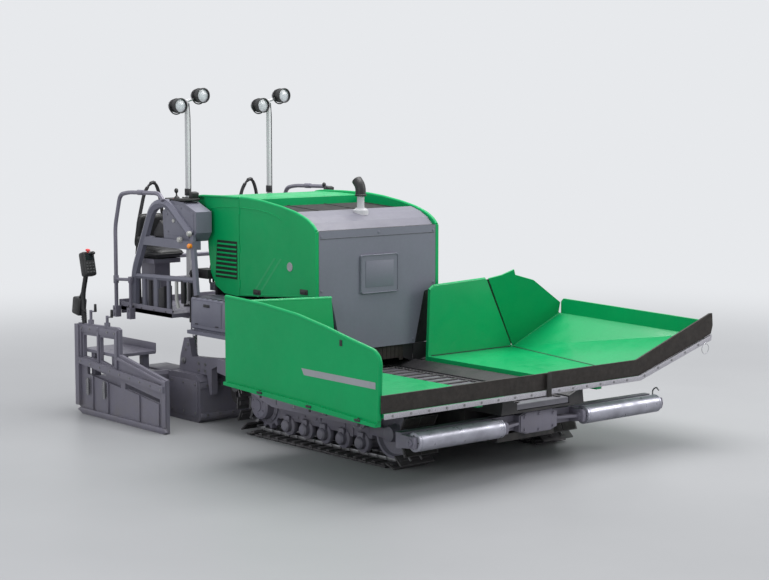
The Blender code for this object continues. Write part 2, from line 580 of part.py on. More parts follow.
body_shape = [(SCREED_FRONT, 0.03), (SCREED_FRONT - 0.035, 0.0), (SCREED_REAR, 0.0), (SCREED_REAR, 0.37), (SCREED_REAR + 0.04, 0.41), (SCREED_FRONT - 0.06, 0.41), (SCREED_FRONT, 0.36)]
screed = union(
    outline("x", body_shape, -0.92, 0.92),
    box(-0.92, 0.92, SCREED_REAR - 0.005, SCREED_REAR + 0.06, 0.20, 0.40),
)
screed_node("screed_body", screed, "steel")
for side_name, side in SIDES:
    arm = outline("x", [(1.03, 0.30), (1.03, 0.42), (0.10, 0.42), (-0.12, 0.42), (-0.78, 0.60), (-0.93, 0.60), (-0.93, 0.49), (-0.80, 0.47), (-0.16, 0.30)], *span(side, 0.935, 0.985))
    rear = outline("x", [(-0.88, 0.505), (-0.88, 0.595), (-1.20, 0.565), (-1.50, 0.548), (-1.545, 0.70), (-1.62, 0.70), (-1.68, 0.54), (-1.70, 0.4105), (-1.275, 0.4105), (-1.235, 0.25), (-1.205, 0.25), (-1.205, 0.47), (-1.12, 0.505)], *span(side, 0.79, 0.85))
    link = box(*span(side, 0.80, 0.97), -0.925, -0.872, 0.495, 0.597)
    pin = cylinder("x", 0, TOW_F, TOW_Z, 0.035, *span(side, 0.925, 0.998), 16)
    low_pin = cylinder("x", 0, LIFT_LOW[0], LIFT_LOW[1], 0.014, *span(side, 0.70, 0.80), 12)
    screed_node(f"tow_arm_{side_name}", union(arm, rear, link, pin, low_pin), "steel")

    # Extension behind the main screed, sliding sideways with its end gate.
    x0, x1 = span(side, 0.56, GATE_IN - GAP)
    ext_shape = [(EXT_FRONT, 0.03), (EXT_FRONT - 0.03, 0.0), (EXT_REAR, 0.0), (EXT_REAR, 0.28), (EXT_REAR + 0.05, 0.34), (EXT_FRONT - 0.03, 0.40), (EXT_FRONT, 0.37)]
    ext = outline("x", ext_shape, x0, x1)
    tread = box(*span(side, 0.985, GATE_IN - GAP), -2.42, -1.86, 0.545, 0.575, 0.004)
    post1 = box(*span(side, 1.02, 1.08), -2.32, -2.26, 0.27, 0.56)
    post2 = box(*span(side, 1.30, 1.36), -2.32, -2.26, 0.27, 0.56)
    post3 = box(*span(side, 1.02, 1.08), -1.98, -1.92, 0.36, 0.56)
    post4 = box(*span(side, 1.30, 1.36), -1.98, -1.92, 0.36, 0.56)
    screed_node(f"screed_extension_{side_name}", union(ext, tread, post1, post2, post3, post4), "steel")

    gate = outline("x", [
        [(-2.44, 0.06), (-2.44, 0.80), (-2.38, 0.80), (-1.80, 0.815), (-1.76, 0.80), (-1.76, 0.585), (-1.04, 0.45), (-1.04, 0.0), (-2.36, 0.0)],
        [(-2.35, 0.51), (-2.35, 0.70), (-2.13, 0.705), (-2.13, 0.50)],
        [(-2.07, 0.50), (-2.07, 0.705), (-1.85, 0.71), (-1.85, 0.46)],
        [(-2.30, 0.36), (-2.30, 0.425), (-1.75, 0.355), (-1.75, 0.30)],
        [(-1.68, 0.30), (-1.68, 0.35), (-1.14, 0.28), (-1.14, 0.235)],
    ], *span(side, GATE_IN, GATE_OUT))
    rail = outline("x", [(-2.39, 0.445), (-2.39, 0.50), (-1.05, 0.40), (-1.05, 0.345)], *span(side, GATE_OUT - 0.01, GATE_OUT + 0.035))
    edge = box(*span(side, GATE_IN + 0.002, GATE_OUT + 0.03), -2.46, -2.40, 0.07, 0.79)
    screed_node(f"end_gate_{side_name}", union(gate, rail, edge), "steel")

    stalk = tube(rounded([(side * 1.40, -2.36, 0.806), (side * 1.40, -2.38, 1.05), (side * 1.40, -2.30, 1.28), (side * 1.40, -2.24, 1.40)], 0.06), 0.022, 1)
    pad = box(*span(side, 1.345, 1.455), -2.37, -2.24, 1.20, 1.42, 0.02)
    grip = box(*span(side, 1.36, 1.44), -2.50, -2.38, 0.86, 1.02, 0.015)
    screed_node(f"screed_console_{side_name}", union(stalk, pad, grip), "dark")

# ---- lift cylinders, from the bulkhead's brackets to the tow arms --------
lean = math.atan2(LIFT_LOW[0] - LIFT_TOP[0], LIFT_TOP[1] - LIFT_LOW[1])
reach = math.hypot(LIFT_LOW[0] - LIFT_TOP[0], LIFT_TOP[1] - LIFT_LOW[1])


def ring(x0, x1, f, z, outer, inner, count=16):
    rings = [[(f + r * math.cos(2 * math.pi * i / count), z + r * math.sin(2 * math.pi * i / count)) for i in range(count)] for r in (outer, inner)]
    return outline("x", rings, x0, x1)


for side_name, side in SIDES:
    top_pin, low_pin = place(side * LIFT_X, *LIFT_TOP), place(side * LIFT_X, *LIFT_LOW)
    hinge = empty(f"lift_pin_{side_name}", top_pin)
    tilt = Matrix.Translation(top_pin) @ Matrix.Rotation(-lean, 4, "X") @ Matrix.Translation(-top_pin)
    barrel = turned([(0, -0.028), (0.040, -0.028), (0.040, -0.425), (0.026, -0.425), (0.026, -0.055), (0, -0.055)], top_pin, 18)
    barrel.transform(tilt)
    eye = ring(*span(side, 0.716, 0.754), *LIFT_TOP, 0.036, 0.0165)
    node(f"lift_barrel_{side_name}", union(barrel, eye), "dark", origin=top_pin, parent=hinge)
    rod = turned([(0, -reach + 0.42), (0.022, -reach + 0.42), (0.022, -reach + 0.032), (0, -reach + 0.032)], top_pin, 18)
    rod.transform(tilt)
    eye = ring(*span(side, 0.716, 0.754), *LIFT_LOW, 0.040, 0.024)
    node(f"lift_rod_{side_name}", union(rod, eye), "light", origin=low_pin)

# ---- operator's platform ------------------------------------------------
deck = union(
    outline("z", [(-0.90, -2.60), (0.90, -2.60), (0.90, -1.72), (0.62, -1.72), (0.62, -1.565), (-0.62, -1.565), (-0.62, -1.72), (-0.90, -1.72)], DECK_Z - 0.035, DECK_Z),
    box(-0.56, -0.50, -2.50, -1.575, 0.81, DECK_Z - 0.02), box(0.50, 0.56, -2.50, -1.575, 0.81, DECK_Z - 0.02),
    box(-0.88, 0.88, -2.59, -2.57, 0.83, DECK_Z - 0.01),
    box(-0.665, -0.30, -1.79, -1.58, 0.70, DECK_Z - 0.01), box(0.30, 0.665, -1.79, -1.58, 0.70, DECK_Z - 0.01),   # oil tanks under the deck
    *[shape for side in (1, -1) for shape in (box(*span(side, 0.58, 0.74), -2.46, -2.24, DECK_Z - 0.02, 1.32), box(*span(side, 0.52, 0.80), -2.48, -2.16, 1.30, 1.3395))],
)
node("platform", deck, "steel")


def arc_path(points, radius=0.10):
    return rounded(points, radius, 4)


for side_name, side in SIDES:
    # Bent arch that carries the console, from the deck's edge over to the box beside the hood.
    arch = tube(arc_path([(side * 0.86, -2.385, DECK_Z + 0.003), (side * 0.86, -2.375, 1.22), (side * 0.86, -2.06, 1.83), (side * 0.86, -1.83, 1.87), (side * 0.86, -1.46, 1.60)], 0.10), 0.042, 1)
    console = outline("x", [(-1.90, 1.545), (-1.46, 1.545), (-1.40, 1.62), (-1.40, 1.80), (-1.60, 1.875), (-1.78, 1.885), (-1.92, 1.78)], *span(side, 0.70, 0.86))
    tray = box(*span(side, 0.80, 0.885), -2.24, -1.42, 1.475, 1.55)
    leg = tube([(side * 0.86, -1.455, 1.60), (side * 0.86, -1.400, 1.0865)], 0.030, 1)
    # low rail under it, on posts from the deck
    low_rail = tube([(side * 0.862, -2.37, 1.185), (side * 0.862, -1.42, 1.215)], 0.026, 1)
    posts = [cylinder("z", side * 0.862, f, 0, r, DECK_Z + 0.001, 1.20, 12) for f, r in ((-2.22, 0.020), (-2.02, 0.030), (-1.83, 0.020))]
    node(f"console_{side_name}", union(arch, console, tray, leg, low_rail, *posts), "grey")

    seat = union(
        box(*span(side, 0.49, 0.808), -2.50, -2.10, 1.34, 1.43, 0.03),
        outline("x", [(-2.47, 1.36), (-2.553, 1.70), (-2.49, 1.745), (-2.385, 1.41)], *span(side, 0.505, 0.795)),
    )
    node(f"seat_{side_name}", seat, "seat")

    node(f"grab_hoop_{side_name}", tube(arc_path([(side * 0.40, -2.575, DECK_Z + 0.003), (side * 0.40, -2.60, 1.60), (side * 0.47, -2.58, 1.93), (side * 0.544, -2.55, 2.03), (side * 0.62, -2.58, 1.93), (side * 0.69, -2.60, 1.60), (side * 0.69, -2.575, DECK_Z + 0.003)], 0.07), 0.018, 1), "dark")

    rail = tube(arc_path([(side * 0.93, -2.590, 0.80), (side * 0.93, -2.590, 1.62), (side * 0.93, -2.50, 1.91), (side * 0.93, -2.34, 1.935), (side * 0.93, -1.86, 1.945), (side * 0.93, -1.80, 1.885)], 0.06), 0.020, 1)
    bar = tube([(side * 0.93, -2.585, 1.14), (side * 0.93, -2.33, 1.155)], 0.016, 1)
    foot = box(*span(side, 0.9005, 0.955), -2.613, -2.56, 0.80, 0.90)
    brace = tube([(side * 0.93, -2.35, 1.155), (side * 0.93, -2.35, 0.84)], 0.016, 1)
    foot2 = box(*span(side, 0.9005, 0.955), -2.38, -2.32, 0.80, 0.90)
    node(f"side_rail_{side_name}", union(rail, bar, foot, brace, foot2), "steel")

    mast = tube([(side * 0.451, -2.13, DECK_Z + GAP), (side * 0.451, -2.13, 2.66)], 0.024, 1)
    cross = tube([(side * 0.451 - 0.13, -2.13, 2.70), (side * 0.451 + 0.13, -2.13, 2.78)], 0.014, 1)
    neck = tube([(side * 0.451, -2.13, 2.64), (side * 0.451, -2.13, 2.745)], 0.018, 1)
    lamp1 = cylinder("f", side * 0.451 - 0.12, 0, 2.70, 0.055, -2.17, -2.06, 14)
    lamp2 = cylinder("f", side * 0.451 + 0.12, 0, 2.79, 0.055, -2.17, -2.06, 14)
    node(f"light_mast_{side_name}", union(mast, neck, cross, lamp1, lamp2), "light")

rear_guard = tube(arc_path([(-0.56, -2.535, DECK_Z + 0.001), (-0.56, -2.535, 1.32), (0.56, -2.535, 1.32), (0.56, -2.535, DECK_Z + 0.001)], 0.08), 0.019, 1)
node("rear_guard", rear_guard, "steel")
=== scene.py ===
"""Looks of the tracked asphalt paver: materials, detailed pieces, floor, light and camera."""
import json
import math
import random

import bmesh
import bpy
from mathutils import Matrix, Vector


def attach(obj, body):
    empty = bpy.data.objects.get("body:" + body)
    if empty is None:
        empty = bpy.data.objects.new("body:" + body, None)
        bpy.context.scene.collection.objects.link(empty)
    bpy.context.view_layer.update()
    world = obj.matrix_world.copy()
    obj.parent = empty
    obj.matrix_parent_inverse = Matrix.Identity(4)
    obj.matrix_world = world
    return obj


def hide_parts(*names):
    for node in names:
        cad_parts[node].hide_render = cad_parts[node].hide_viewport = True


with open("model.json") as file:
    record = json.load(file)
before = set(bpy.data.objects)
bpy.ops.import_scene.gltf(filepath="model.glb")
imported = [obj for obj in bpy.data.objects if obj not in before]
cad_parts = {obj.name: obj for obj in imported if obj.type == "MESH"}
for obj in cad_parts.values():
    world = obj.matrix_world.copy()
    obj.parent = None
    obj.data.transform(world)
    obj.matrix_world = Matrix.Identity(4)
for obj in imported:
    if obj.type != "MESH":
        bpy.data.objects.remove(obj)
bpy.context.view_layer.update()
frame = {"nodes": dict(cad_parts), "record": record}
NODES = frame["nodes"]
SLOTS = {s["node"]: s["material_slot"] for s in frame["record"]["subparts"]}
SX, SY = -0.11, -0.301          # design coordinates: x left, f forward of the hood's face, z up
RNG = random.Random(7)


def P(x, f, z):
    return Vector((x + SX, SY - f, z))


# ------------------------------------------------------------------ camera
cam = bpy.data.objects.new("camera", bpy.data.cameras.new("camera"))
bpy.context.scene.collection.objects.link(cam)
cam.location = P(-9.451, 11.317, 2.789)
cam.rotation_euler = (math.pi / 2 - 0.108, 0, -0.699)
cam.data.sensor_width = 36
cam.data.lens = 1793.4 / 769 * 36
bpy.context.scene.camera = cam
bpy.context.scene.view_settings.view_transform = "Standard"


# --------------------------------------------------------------- materials
class Mat:
    """A node material built step by step."""

    def __init__(self, name, rough=0.5, metallic=0.0, coat=0.0, spec=0.5):
        self.mat = bpy.data.materials.new(name)
        self.mat.use_nodes = True
        self.tree = self.mat.node_tree
        self.n = self.tree.nodes
        self.bsdf = self.n["Principled BSDF"]
        self.bsdf.inputs["Roughness"].default_value = rough
        self.bsdf.inputs["Metallic"].default_value = metallic
        self.bsdf.inputs["Coat Weight"].default_value = coat
        self.bsdf.inputs["Coat Roughness"].default_value = 0.12
        self.bsdf.inputs["Specular IOR Level"].default_value = spec
        self.coord = self.n.new("ShaderNodeTexCoord")

    def link(self, a, b):
        self.tree.links.new(a, b)

    def stretch(self, x, y, z):
        node = self.n.new("ShaderNodeMapping")
        node.inputs["Scale"].default_value = (x, y, z)
        self.link(self.coord.outputs["Object"], node.inputs["Vector"])
        return node.outputs["Vector"]

    def noise(self, scale, detail=3.0, rough=0.55, vector=None):
        node = self.n.new("ShaderNodeTexNoise")
        node.inputs["Scale"].default_value = scale
        node.inputs["Detail"].default_value = detail
        node.inputs["Roughness"].default_value = rough
        self.link(vector or self.coord.outputs["Object"], node.inputs["Vector"])
        return node.outputs["Fac"]

    def ramp(self, value, stops):
        node = self.n.new("ShaderNodeValToRGB")
        ramp = node.color_ramp
        while len(ramp.elements) < len(stops):
            ramp.elements.new(0.5)
        for element, (at, colour) in zip(ramp.elements, stops):
            element.position = at
            element.color = (*colour, 1) if isinstance(colour, tuple) else (colour, colour, colour, 1)
        self.link(value, node.inputs["Fac"])
        return node.outputs["Color"]

    def mix(self, factor, a, b, blend="MIX"):
        node = self.n.new("ShaderNodeMix")
        node.data_type = "RGBA"
        node.blend_type = blend
        for socket, value in ((node.inputs["Factor"], factor), (node.inputs[6], a), (node.inputs[7], b)):
            if isinstance(value, (int, float)):
                socket.default_value = value
            elif isinstance(value, tuple):
                socket.default_value = (*value, 1)
            else:
                self.link(value, socket)
        return node.outputs[2]

    def math(self, op, a, b=0.0):
        node = self.n.new("ShaderNodeMath")
        node.operation = op
        for socket, value in zip(node.inputs, (a, b)):
            if isinstance(value, (int, float)):
                socket.default_value = value
            else:
                self.link(value, socket)
        return node.outputs[0]

    def height(self):
        """Height above the ground in metres: 0 at the ground, 1 one metre up."""
        node = self.n.new("ShaderNodeSeparateXYZ")
        geometry = self.n.new("ShaderNodeNewGeometry")
        self.link(geometry.outputs["Position"], node.inputs[0])
        return node.outputs["Z"]

    def edges(self, radius=0.006):
        """1 along sharp edges."""
        bevel = self.n.new("ShaderNodeBevel")
        bevel.inputs["Radius"].default_value = radius
        bevel.samples = 4
        geometry = self.n.new("ShaderNodeNewGeometry")
        dot = self.n.new("ShaderNodeVectorMath")
        dot.operation = "DOT_PRODUCT"
        self.link(bevel.outputs["Normal"], dot.inputs[0])
        self.link(geometry.outputs["Normal"], dot.inputs[1])
        return self.math("SUBTRACT", 1.0, dot.outputs["Value"])

    def bump(self, value, strength, distance, normal=None):
        node = self.n.new("ShaderNodeBump")
        node.inputs["Strength"].default_value = strength
        node.inputs["Distance"].default_value = distance
        self.link(value, node.inputs["Height"])
        if normal is not None:
            self.link(normal, node.inputs["Normal"])
        return node.outputs["Normal"]

    def done(self, colour=None, rough=None, normal=None):
        if colour is not None:
            self.link(colour, self.bsdf.inputs["Base Color"])
        if rough is not None:
            self.link(rough, self.bsdf.inputs["Roughness"])
        if normal is not None:
            self.link(normal, self.bsdf.inputs["Normal"])
        return self.mat


def shade(colour, by):
    return tuple(min(1.0, max(0.0, c * by)) for c in colour)


def paint(name, colour, rough=0.34, metallic=0.0, coat=0.3, dirt=0.35, wear=0.5, under=(0.16, 0.16, 0.17), spec=0.4):
    """Sprayed machine paint: slight tone drift, orange peel, dust towards the ground, thin wear on edges."""
    m = Mat(name, rough, metallic, coat, spec=spec)
    broad = m.ramp(m.noise(1.7, 4), [(0.3, shade(colour, 0.90)), (0.7, shade(colour, 1.07))])
    fine = m.ramp(m.noise(42, 3), [(0.35, shade(colour, 0.94)), (0.65, shade(colour, 1.04))])
    base = m.mix(0.35, broad, fine)
    # dust gathers low on the machine and in soft patches
    low = m.ramp(m.height(), [(0.0, 1.0), (0.55, 0.12), (1.0, 0.0)])
    patch = m.ramp(m.noise(6.5, 6, 0.65), [(0.42, 0.0), (0.72, 1.0)])
    dust = m.math("MULTIPLY", m.math("MULTIPLY", low, patch), dirt)
    base = m.mix(dust, base, (0.17, 0.155, 0.135))
    streak = m.ramp(m.noise(1.0, 4, 0.6, m.stretch(26, 26, 2.2)), [(0.56, 0.0), (0.74, 1.0)])
    base = m.mix(m.math("MULTIPLY", streak, 0.10 * dirt / 0.35), base, shade(colour, 0.55))
    edge = m.ramp(m.edges(0.005), [(0.02, 0.0), (0.20, 1.0)])
    chips = m.ramp(m.noise(75, 4, 0.7), [(0.50, 0.0), (0.58, 1.0)])
    base = m.mix(m.math("MULTIPLY", m.math("MULTIPLY", edge, chips), wear), base, under)
    roughness = m.ramp(m.noise(9, 5), [(0.3, max(0.05, rough - 0.06)), (0.75, rough + 0.14)])
    peel = m.bump(m.noise(260, 2), 0.07, 0.0006)
    return m.done(base, roughness, peel)


def steel(name, colour, rough=0.38, metallic=0.85, grain=(90, 6, 90), scratch=0.4):
    m = Mat(name, rough, metallic)
    lines = m.noise(1.0, 5, 0.6, m.stretch(*grain))
    base = m.ramp(lines, [(0.25, shade(colour, 0.72)), (0.55, colour), (0.8, shade(colour, 1.18))])
    stain = m.ramp(m.noise(5, 6, 0.65), [(0.45, 0.0), (0.8, 1.0)])
    base = m.mix(m.math("MULTIPLY", stain, 0.35), base, shade(colour, 0.5))
    roughness = m.ramp(m.noise(14, 5), [(0.3, rough - 0.1), (0.8, rough + 0.2)])
    return m.done(base, roughness, m.bump(lines, scratch * 0.2, 0.0008))


def rubber(name, colour=(0.018, 0.017, 0.016), rough=0.72, dusty=0.5):
    m = Mat(name, rough, 0.0, spec=0.35)
    base = m.ramp(m.noise(18, 5, 0.6), [(0.3, shade(colour, 0.75)), (0.7, shade(colour, 1.5))])
    dust = m.ramp(m.noise(4.5, 7, 0.7), [(0.48, 0.0), (0.8, 1.0)])
    base = m.mix(m.math("MULTIPLY", dust, dusty * 0.5), base, (0.085, 0.075, 0.068))
    roughness = m.ramp(m.noise(30, 4), [(0.3, rough - 0.12), (0.8, min(1.0, rough + 0.18))])
    return m.done(base, roughness, m.bump(m.noise(190, 4, 0.7), 0.22, 0.0012))


def plastic(name, colour, rough=0.5, grain=320, depth=0.12):
    m = Mat(name, rough, 0.0)
    base = m.ramp(m.noise(7, 4), [(0.3, shade(colour, 0.85)), (0.7, shade(colour, 1.2))])
    roughness = m.ramp(m.noise(22, 4), [(0.3, rough - 0.08), (0.8, rough + 0.14)])
    return m.done(base, roughness, m.bump(m.noise(grain, 2), depth, 0.0006))


def vinyl(name, colour):
    m = Mat(name, 0.48, 0.0)
    cells = m.n.new("ShaderNodeTexVoronoi")
    cells.feature = "DISTANCE_TO_EDGE"
    cells.inputs["Scale"].default_value = 230
    m.link(m.coord.outputs["Object"], cells.inputs["Vector"])
    base = m.ramp(m.noise(9, 4), [(0.3, shade(colour, 0.8)), (0.7, shade(colour, 1.5))])
    worn = m.ramp(m.noise(3.2, 5), [(0.5, 0.0), (0.8, 1.0)])
    base = m.mix(m.math("MULTIPLY", worn, 0.2), base, shade(colour, 3.0))
    roughness = m.ramp(m.noise(16, 3), [(0.3, 0.38), (0.8, 0.6)])
    return m.done(base, roughness, m.bump(cells.outputs["Distance"], 0.35, 0.0009))


def lens(name, colour, rough=0.12):
    m = Mat(name, rough, 0.0, coat=0.6)
    wave = m.n.new("ShaderNodeTexWave")
    wave.inputs["Scale"].default_value = 55
    wave.inputs["Distortion"].default_value = 0.6
    m.link(m.coord.outputs["Object"], wave.inputs["Vector"])
    base = m.ramp(m.noise(30, 3), [(0.3, shade(colour, 0.88)), (0.7, shade(colour, 1.08))])
    return m.done(base, None, m.bump(wave.outputs["Fac"], 0.35, 0.001))


GREEN = (0.0, 0.300, 0.092)
M = {
    "green": paint("paint_green", GREEN, 0.38, coat=0.06, dirt=0.10, wear=0.18, spec=0.16),
    "green_bin": paint("paint_green_hopper", (0.0, 0.300, 0.095), 0.36, coat=0.16, dirt=0.14, wear=0.25, spec=0.3),
    "grey": paint("paint_grey", (0.145, 0.146, 0.188), 0.42, coat=0.1, dirt=0.2, wear=0.3),
    "grey_top": paint("paint_grey_light", (0.125, 0.124, 0.155), 0.42, coat=0.05, dirt=0.08, wear=0.2),
    "steel_grey": paint("paint_steel_grey", (0.165, 0.158, 0.198), 0.45, 0.1, coat=0.05, dirt=0.4, wear=0.5),
    "dark": paint("paint_dark", (0.022, 0.021, 0.024), 0.5, coat=0.0, dirt=0.6, wear=0.4),
    "light": paint("paint_light", (0.47, 0.47, 0.49), 0.36, coat=0.2, dirt=0.1, wear=0.2),
    "stripe": paint("paint_stripe", (0.27, 0.28, 0.30), 0.4, coat=0.2, dirt=0.2, wear=0.2),
    "bare": steel("steel_rolled", (0.38, 0.38, 0.44), 0.34, 0.55, (8, 8, 8), 0.12),
    "belt": steel("steel_belt", (0.17, 0.165, 0.19), 0.40, 0.35, (10, 10, 10), 0.08),
    "strip": steel("steel_strip", (0.46, 0.45, 0.49), 0.34, 0.6),
    "iron": steel("iron_worn", (0.115, 0.11, 0.115), 0.5, 0.7, (20, 20, 20)),
    "chrome": steel("chrome_rod", (0.72, 0.72, 0.74), 0.14, 1.0, (4, 4, 60), 0.1),
    "bolt": steel("bolt_zinc", (0.30, 0.30, 0.31), 0.4, 0.8, (30, 30, 30)),
    "rubber": rubber("rubber_track"),
    "flap": rubber("rubber_flap", (0.016, 0.0125, 0.0105), 0.6, 0.25),
    "black": plastic("plastic_black", (0.012, 0.012, 0.013), 0.48),
    # near-black colour of the grille, partly painted shade: it also stands for the shaded inside of the hood seen
    # around the grille
    "grille_and_shade": plastic("grille_black_and_painted_shade", (0.003, 0.004, 0.0035), 0.75),
    "seat": vinyl("seat_vinyl", (0.012, 0.012, 0.013)),
    "piping": plastic("seat_piping", (0.045, 0.045, 0.047), 0.5),
    "lamp": lens("lamp_lens", (0.42, 0.44, 0.47)),
    "orange": lens("lamp_orange", (0.85, 0.26, 0.01), 0.25),
    "red": plastic("button_red", (0.55, 0.012, 0.015), 0.35),
    "white": plastic("plastic_white", (0.40, 0.40, 0.39), 0.4),
    "screen": plastic("display_glass", (0.01, 0.014, 0.018), 0.12, 60, 0.02),
    "hose": rubber("hose_rubber", (0.014, 0.014, 0.015), 0.55, 0.3),
}
SLOT_MAT = {"body_green": "green", "body_grey": "grey", "steel_grey": "steel_grey", "dark_frame": "dark", "light_grey": "light", "bare_steel": "bare",
            "auger_steel": "iron", "chrome_rod": "chrome", "rubber": "rubber", "black_plastic": "black", "seat_vinyl": "seat"}
# the cooling grille gets the near-black grille colour, which also paints the shade of the hood's inside
NODE_MAT = {"hood_top": "grey_top", "cooling_grille": "grille_and_shade", "wing_floor_left": "green_bin", "wing_floor_right": "green_bin", "wing_panel_left": "green_bin",
            "wing_back_left": "green_bin", "wing_back_right": "green_bin", "wing_corner_left": "green_bin", "lip_bar_left": "strip", "lip_left": "flap", "lip_right": "flap",
            "conveyor_bed": "belt"}
for name, obj in NODES.items():
    key = NODE_MAT.get(name, SLOT_MAT[SLOTS[name]])
    if not obj.material_slots:
        obj.data.materials.append(M[key])
    for s in obj.material_slots:
        s.material = M[key]


# ----------------------------------------------------------- building kit
class Kit:
    """Collects shapes in one mesh, in world coordinates."""

    def __init__(self):
        self.bm = bmesh.new()

    def _keep(self, verts, matrix):
        bmesh.ops.transform(self.bm, matrix=matrix, verts=verts)
        return verts

    def block(self, centre, size, bevel=0.0, turn=None, segments=2):
        """Box with rounded edges; centre in world coordinates, size along world axes before turn."""
        part = bmesh.new()
        bmesh.ops.create_cube(part, size=1.0)
        bmesh.ops.transform(part, matrix=Matrix.Diagonal((*size, 1)), verts=part.verts)
        if bevel:
            bmesh.ops.bevel(part, geom=part.edges[:], offset=min(bevel, min(size) * 0.45), segments=segments, affect="EDGES", profile=0.5)
        matrix = Matrix.Translation(centre) @ (turn.to_4x4() if turn is not None else Matrix.Identity(4))
        bmesh.ops.transform(part, matrix=matrix, verts=part.verts)
        self.add(part)

    def box(self, x0, x1, f0, f1, z0, z1, bevel=0.003, segments=2):
        a, b = P(min(x0, x1), max(f0, f1), min(z0, z1)), P(max(x0, x1), min(f0, f1), max(z0, z1))
        self.block((a + b) / 2, b - a, bevel, None, segments)

    def add(self, part):
        mesh = bpy.data.meshes.new("t")
        part.to_mesh(mesh)
        part.free()
        self.bm.from_mesh(mesh)
        bpy.data.meshes.remove(mesh)

    def rod(self, a, b, r, r2=None, sides=24, bevel=0.0):
        """Cylinder or cone between two world points."""
        a, b = Vector(a), Vector(b)
        part = bmesh.new()
        bmesh.ops.create_cone(part, cap_ends=True, segments=sides, radius1=r, radius2=r if r2 is None else r2, depth=(b - a).length)
        if bevel:
            rims = [e for e in part.edges if len(e.link_faces) == 2 and any(len(face.verts) > 4 for face in e.link_faces)]
            bmesh.ops.bevel(part, geom=rims, offset=bevel, segments=2, affect="EDGES", profile=0.5)
        turn = (b - a).to_track_quat("Z", "Y").to_matrix().to_4x4()
        bmesh.ops.transform(part, matrix=Matrix.Translation((a + b) / 2) @ turn, verts=part.verts)
        self.add(part)

    def ball(self, c, r, squash=(1, 1, 1), sides=16):
        part = bmesh.new()
        bmesh.ops.create_uvsphere(part, u_segments=sides, v_segments=sides // 2, radius=r)
        bmesh.ops.transform(part, matrix=Matrix.Translation(c) @ Matrix.Diagonal((*squash, 1)), verts=part.verts)
        self.add(part)

    def bolt(self, at, out, r=0.009, h=0.007, washer=True):
        """Hexagon head on a washer, standing out of a face."""
        at, out = Vector(at), Vector(out).normalized()
        if washer:
            self.rod(at - out * 0.001, at + out * 0.002, r * 1.55, sides=16)
        self.rod(at, at + out * h, r, r * 0.94, sides=6)

    def pipe(self, points, r, sides=12, smooth=0.0, closed=False):
        """Round tube along world points, with rounded corners."""
        points = [Vector(p) for p in points]
        if smooth:
            points = soften(points, smooth)
        if len(points) < 2:
            return
        part = bmesh.new()
        rings = []
        normal = None
        count = len(points)
        for i, p in enumerate(points):
            ahead = points[(i + 1) % count] if (closed or i + 1 < count) else p
            behind = points[i - 1] if (closed or i) else p
            d = (ahead - behind).normalized()
            if normal is None:
                normal = d.orthogonal().normalized()
            normal = (normal - d * normal.dot(d)).normalized()
            side = d.cross(normal)
            rings.append([part.verts.new(p + r * (math.cos(t) * normal + math.sin(t) * side)) for t in (2 * math.pi * k / sides for k in range(sides))])
        pairs = list(zip(rings, rings[1:])) + ([(rings[-1], rings[0])] if closed else [])
        for one, two in pairs:
            for k in range(sides):
                part.faces.new((one[k], one[(k + 1) % sides], two[(k + 1) % sides], two[k]))
        if not closed:
            part.faces.new(rings[0][::-1])
            part.faces.new(rings[-1])
        bmesh.ops.recalc_face_normals(part, faces=part.faces)
        self.add(part)

    def slab(self, axis, ring, low, high, bevel=0.0, holes=()):
        """Flat outline extruded along x, f or z, with holes, edges rounded."""
        curve = bpy.data.curves.new("o", "CURVE")
        curve.dimensions = "2D"
        curve.fill_mode = "BOTH"
        curve.extrude = (high - low) / 2 - bevel
        curve.bevel_depth = bevel
        curve.bevel_resolution = 1
        curve.offset = -bevel
        for pts in (ring, *holes):
            spline = curve.splines.new("POLY")
            spline.points.add(len(pts) - 1)
            for point, (a, b) in zip(spline.points, pts):
                point.co = (a, b, 0, 1)
            spline.use_cyclic_u = True
        obj = bpy.data.objects.new("o", curve)
        bpy.context.scene.collection.objects.link(obj)
        bpy.context.view_layer.update()
        mesh = bpy.data.meshes.new_from_object(obj.evaluated_get(bpy.context.evaluated_depsgraph_get()))
        bpy.data.objects.remove(obj)
        bpy.data.curves.remove(curve)
        first, second, third = {"x": ((0, -1, 0), (0, 0, 1), (-1, 0, 0)), "f": ((1, 0, 0), (0, 0, 1), (0, -1, 0)), "z": ((1, 0, 0), (0, -1, 0), (0, 0, -1))}[axis]
        turn = Matrix((first, second, third)).transposed().to_4x4()
        middle = (low + high) / 2
        at = {"x": P(middle, 0, 0), "f": P(0, middle, 0), "z": P(0, 0, middle)}[axis]
        part = bmesh.new()
        part.from_mesh(mesh)
        bpy.data.meshes.remove(mesh)
        bmesh.ops.remove_doubles(part, verts=part.verts, dist=1e-5)
        bmesh.ops.transform(part, matrix=Matrix.Translation(at) @ turn, verts=part.verts)
        bmesh.ops.recalc_face_normals(part, faces=part.faces)
        self.add(part)

    def spin(self, profile, at, axis, steps=32):
        """Profile of (radius, distance along axis) turned round a line through at."""
        at, axis = Vector(at), Vector(axis).normalized()
        side = axis.orthogonal().normalized()
        other = axis.cross(side)
        part = bmesh.new()
        rings = []
        for r, h in profile:
            if r < 1e-6:
                rings.append([part.verts.new(at + axis * h)])
            else:
                rings.append([part.verts.new(at + axis * h + r * (math.cos(t) * side + math.sin(t) * other)) for t in (2 * math.pi * k / steps for k in range(steps))])
        for one, two in zip(rings, rings[1:]):
            for k in range(steps):
                a, b = one[k % len(one)], one[(k + 1) % len(one)]
                c, d = two[(k + 1) % len(two)], two[k % len(two)]
                corners = []
                for v in (a, b, c, d):
                    if v not in corners:
                        corners.append(v)
                if len(corners) > 2:
                    part.faces.new(corners)
        for ring in (rings[0], rings[-1]):
            if len(ring) > 2:
                part.faces.new(ring)
        bmesh.ops.recalc_face_normals(part, faces=part.faces)
        self.add(part)

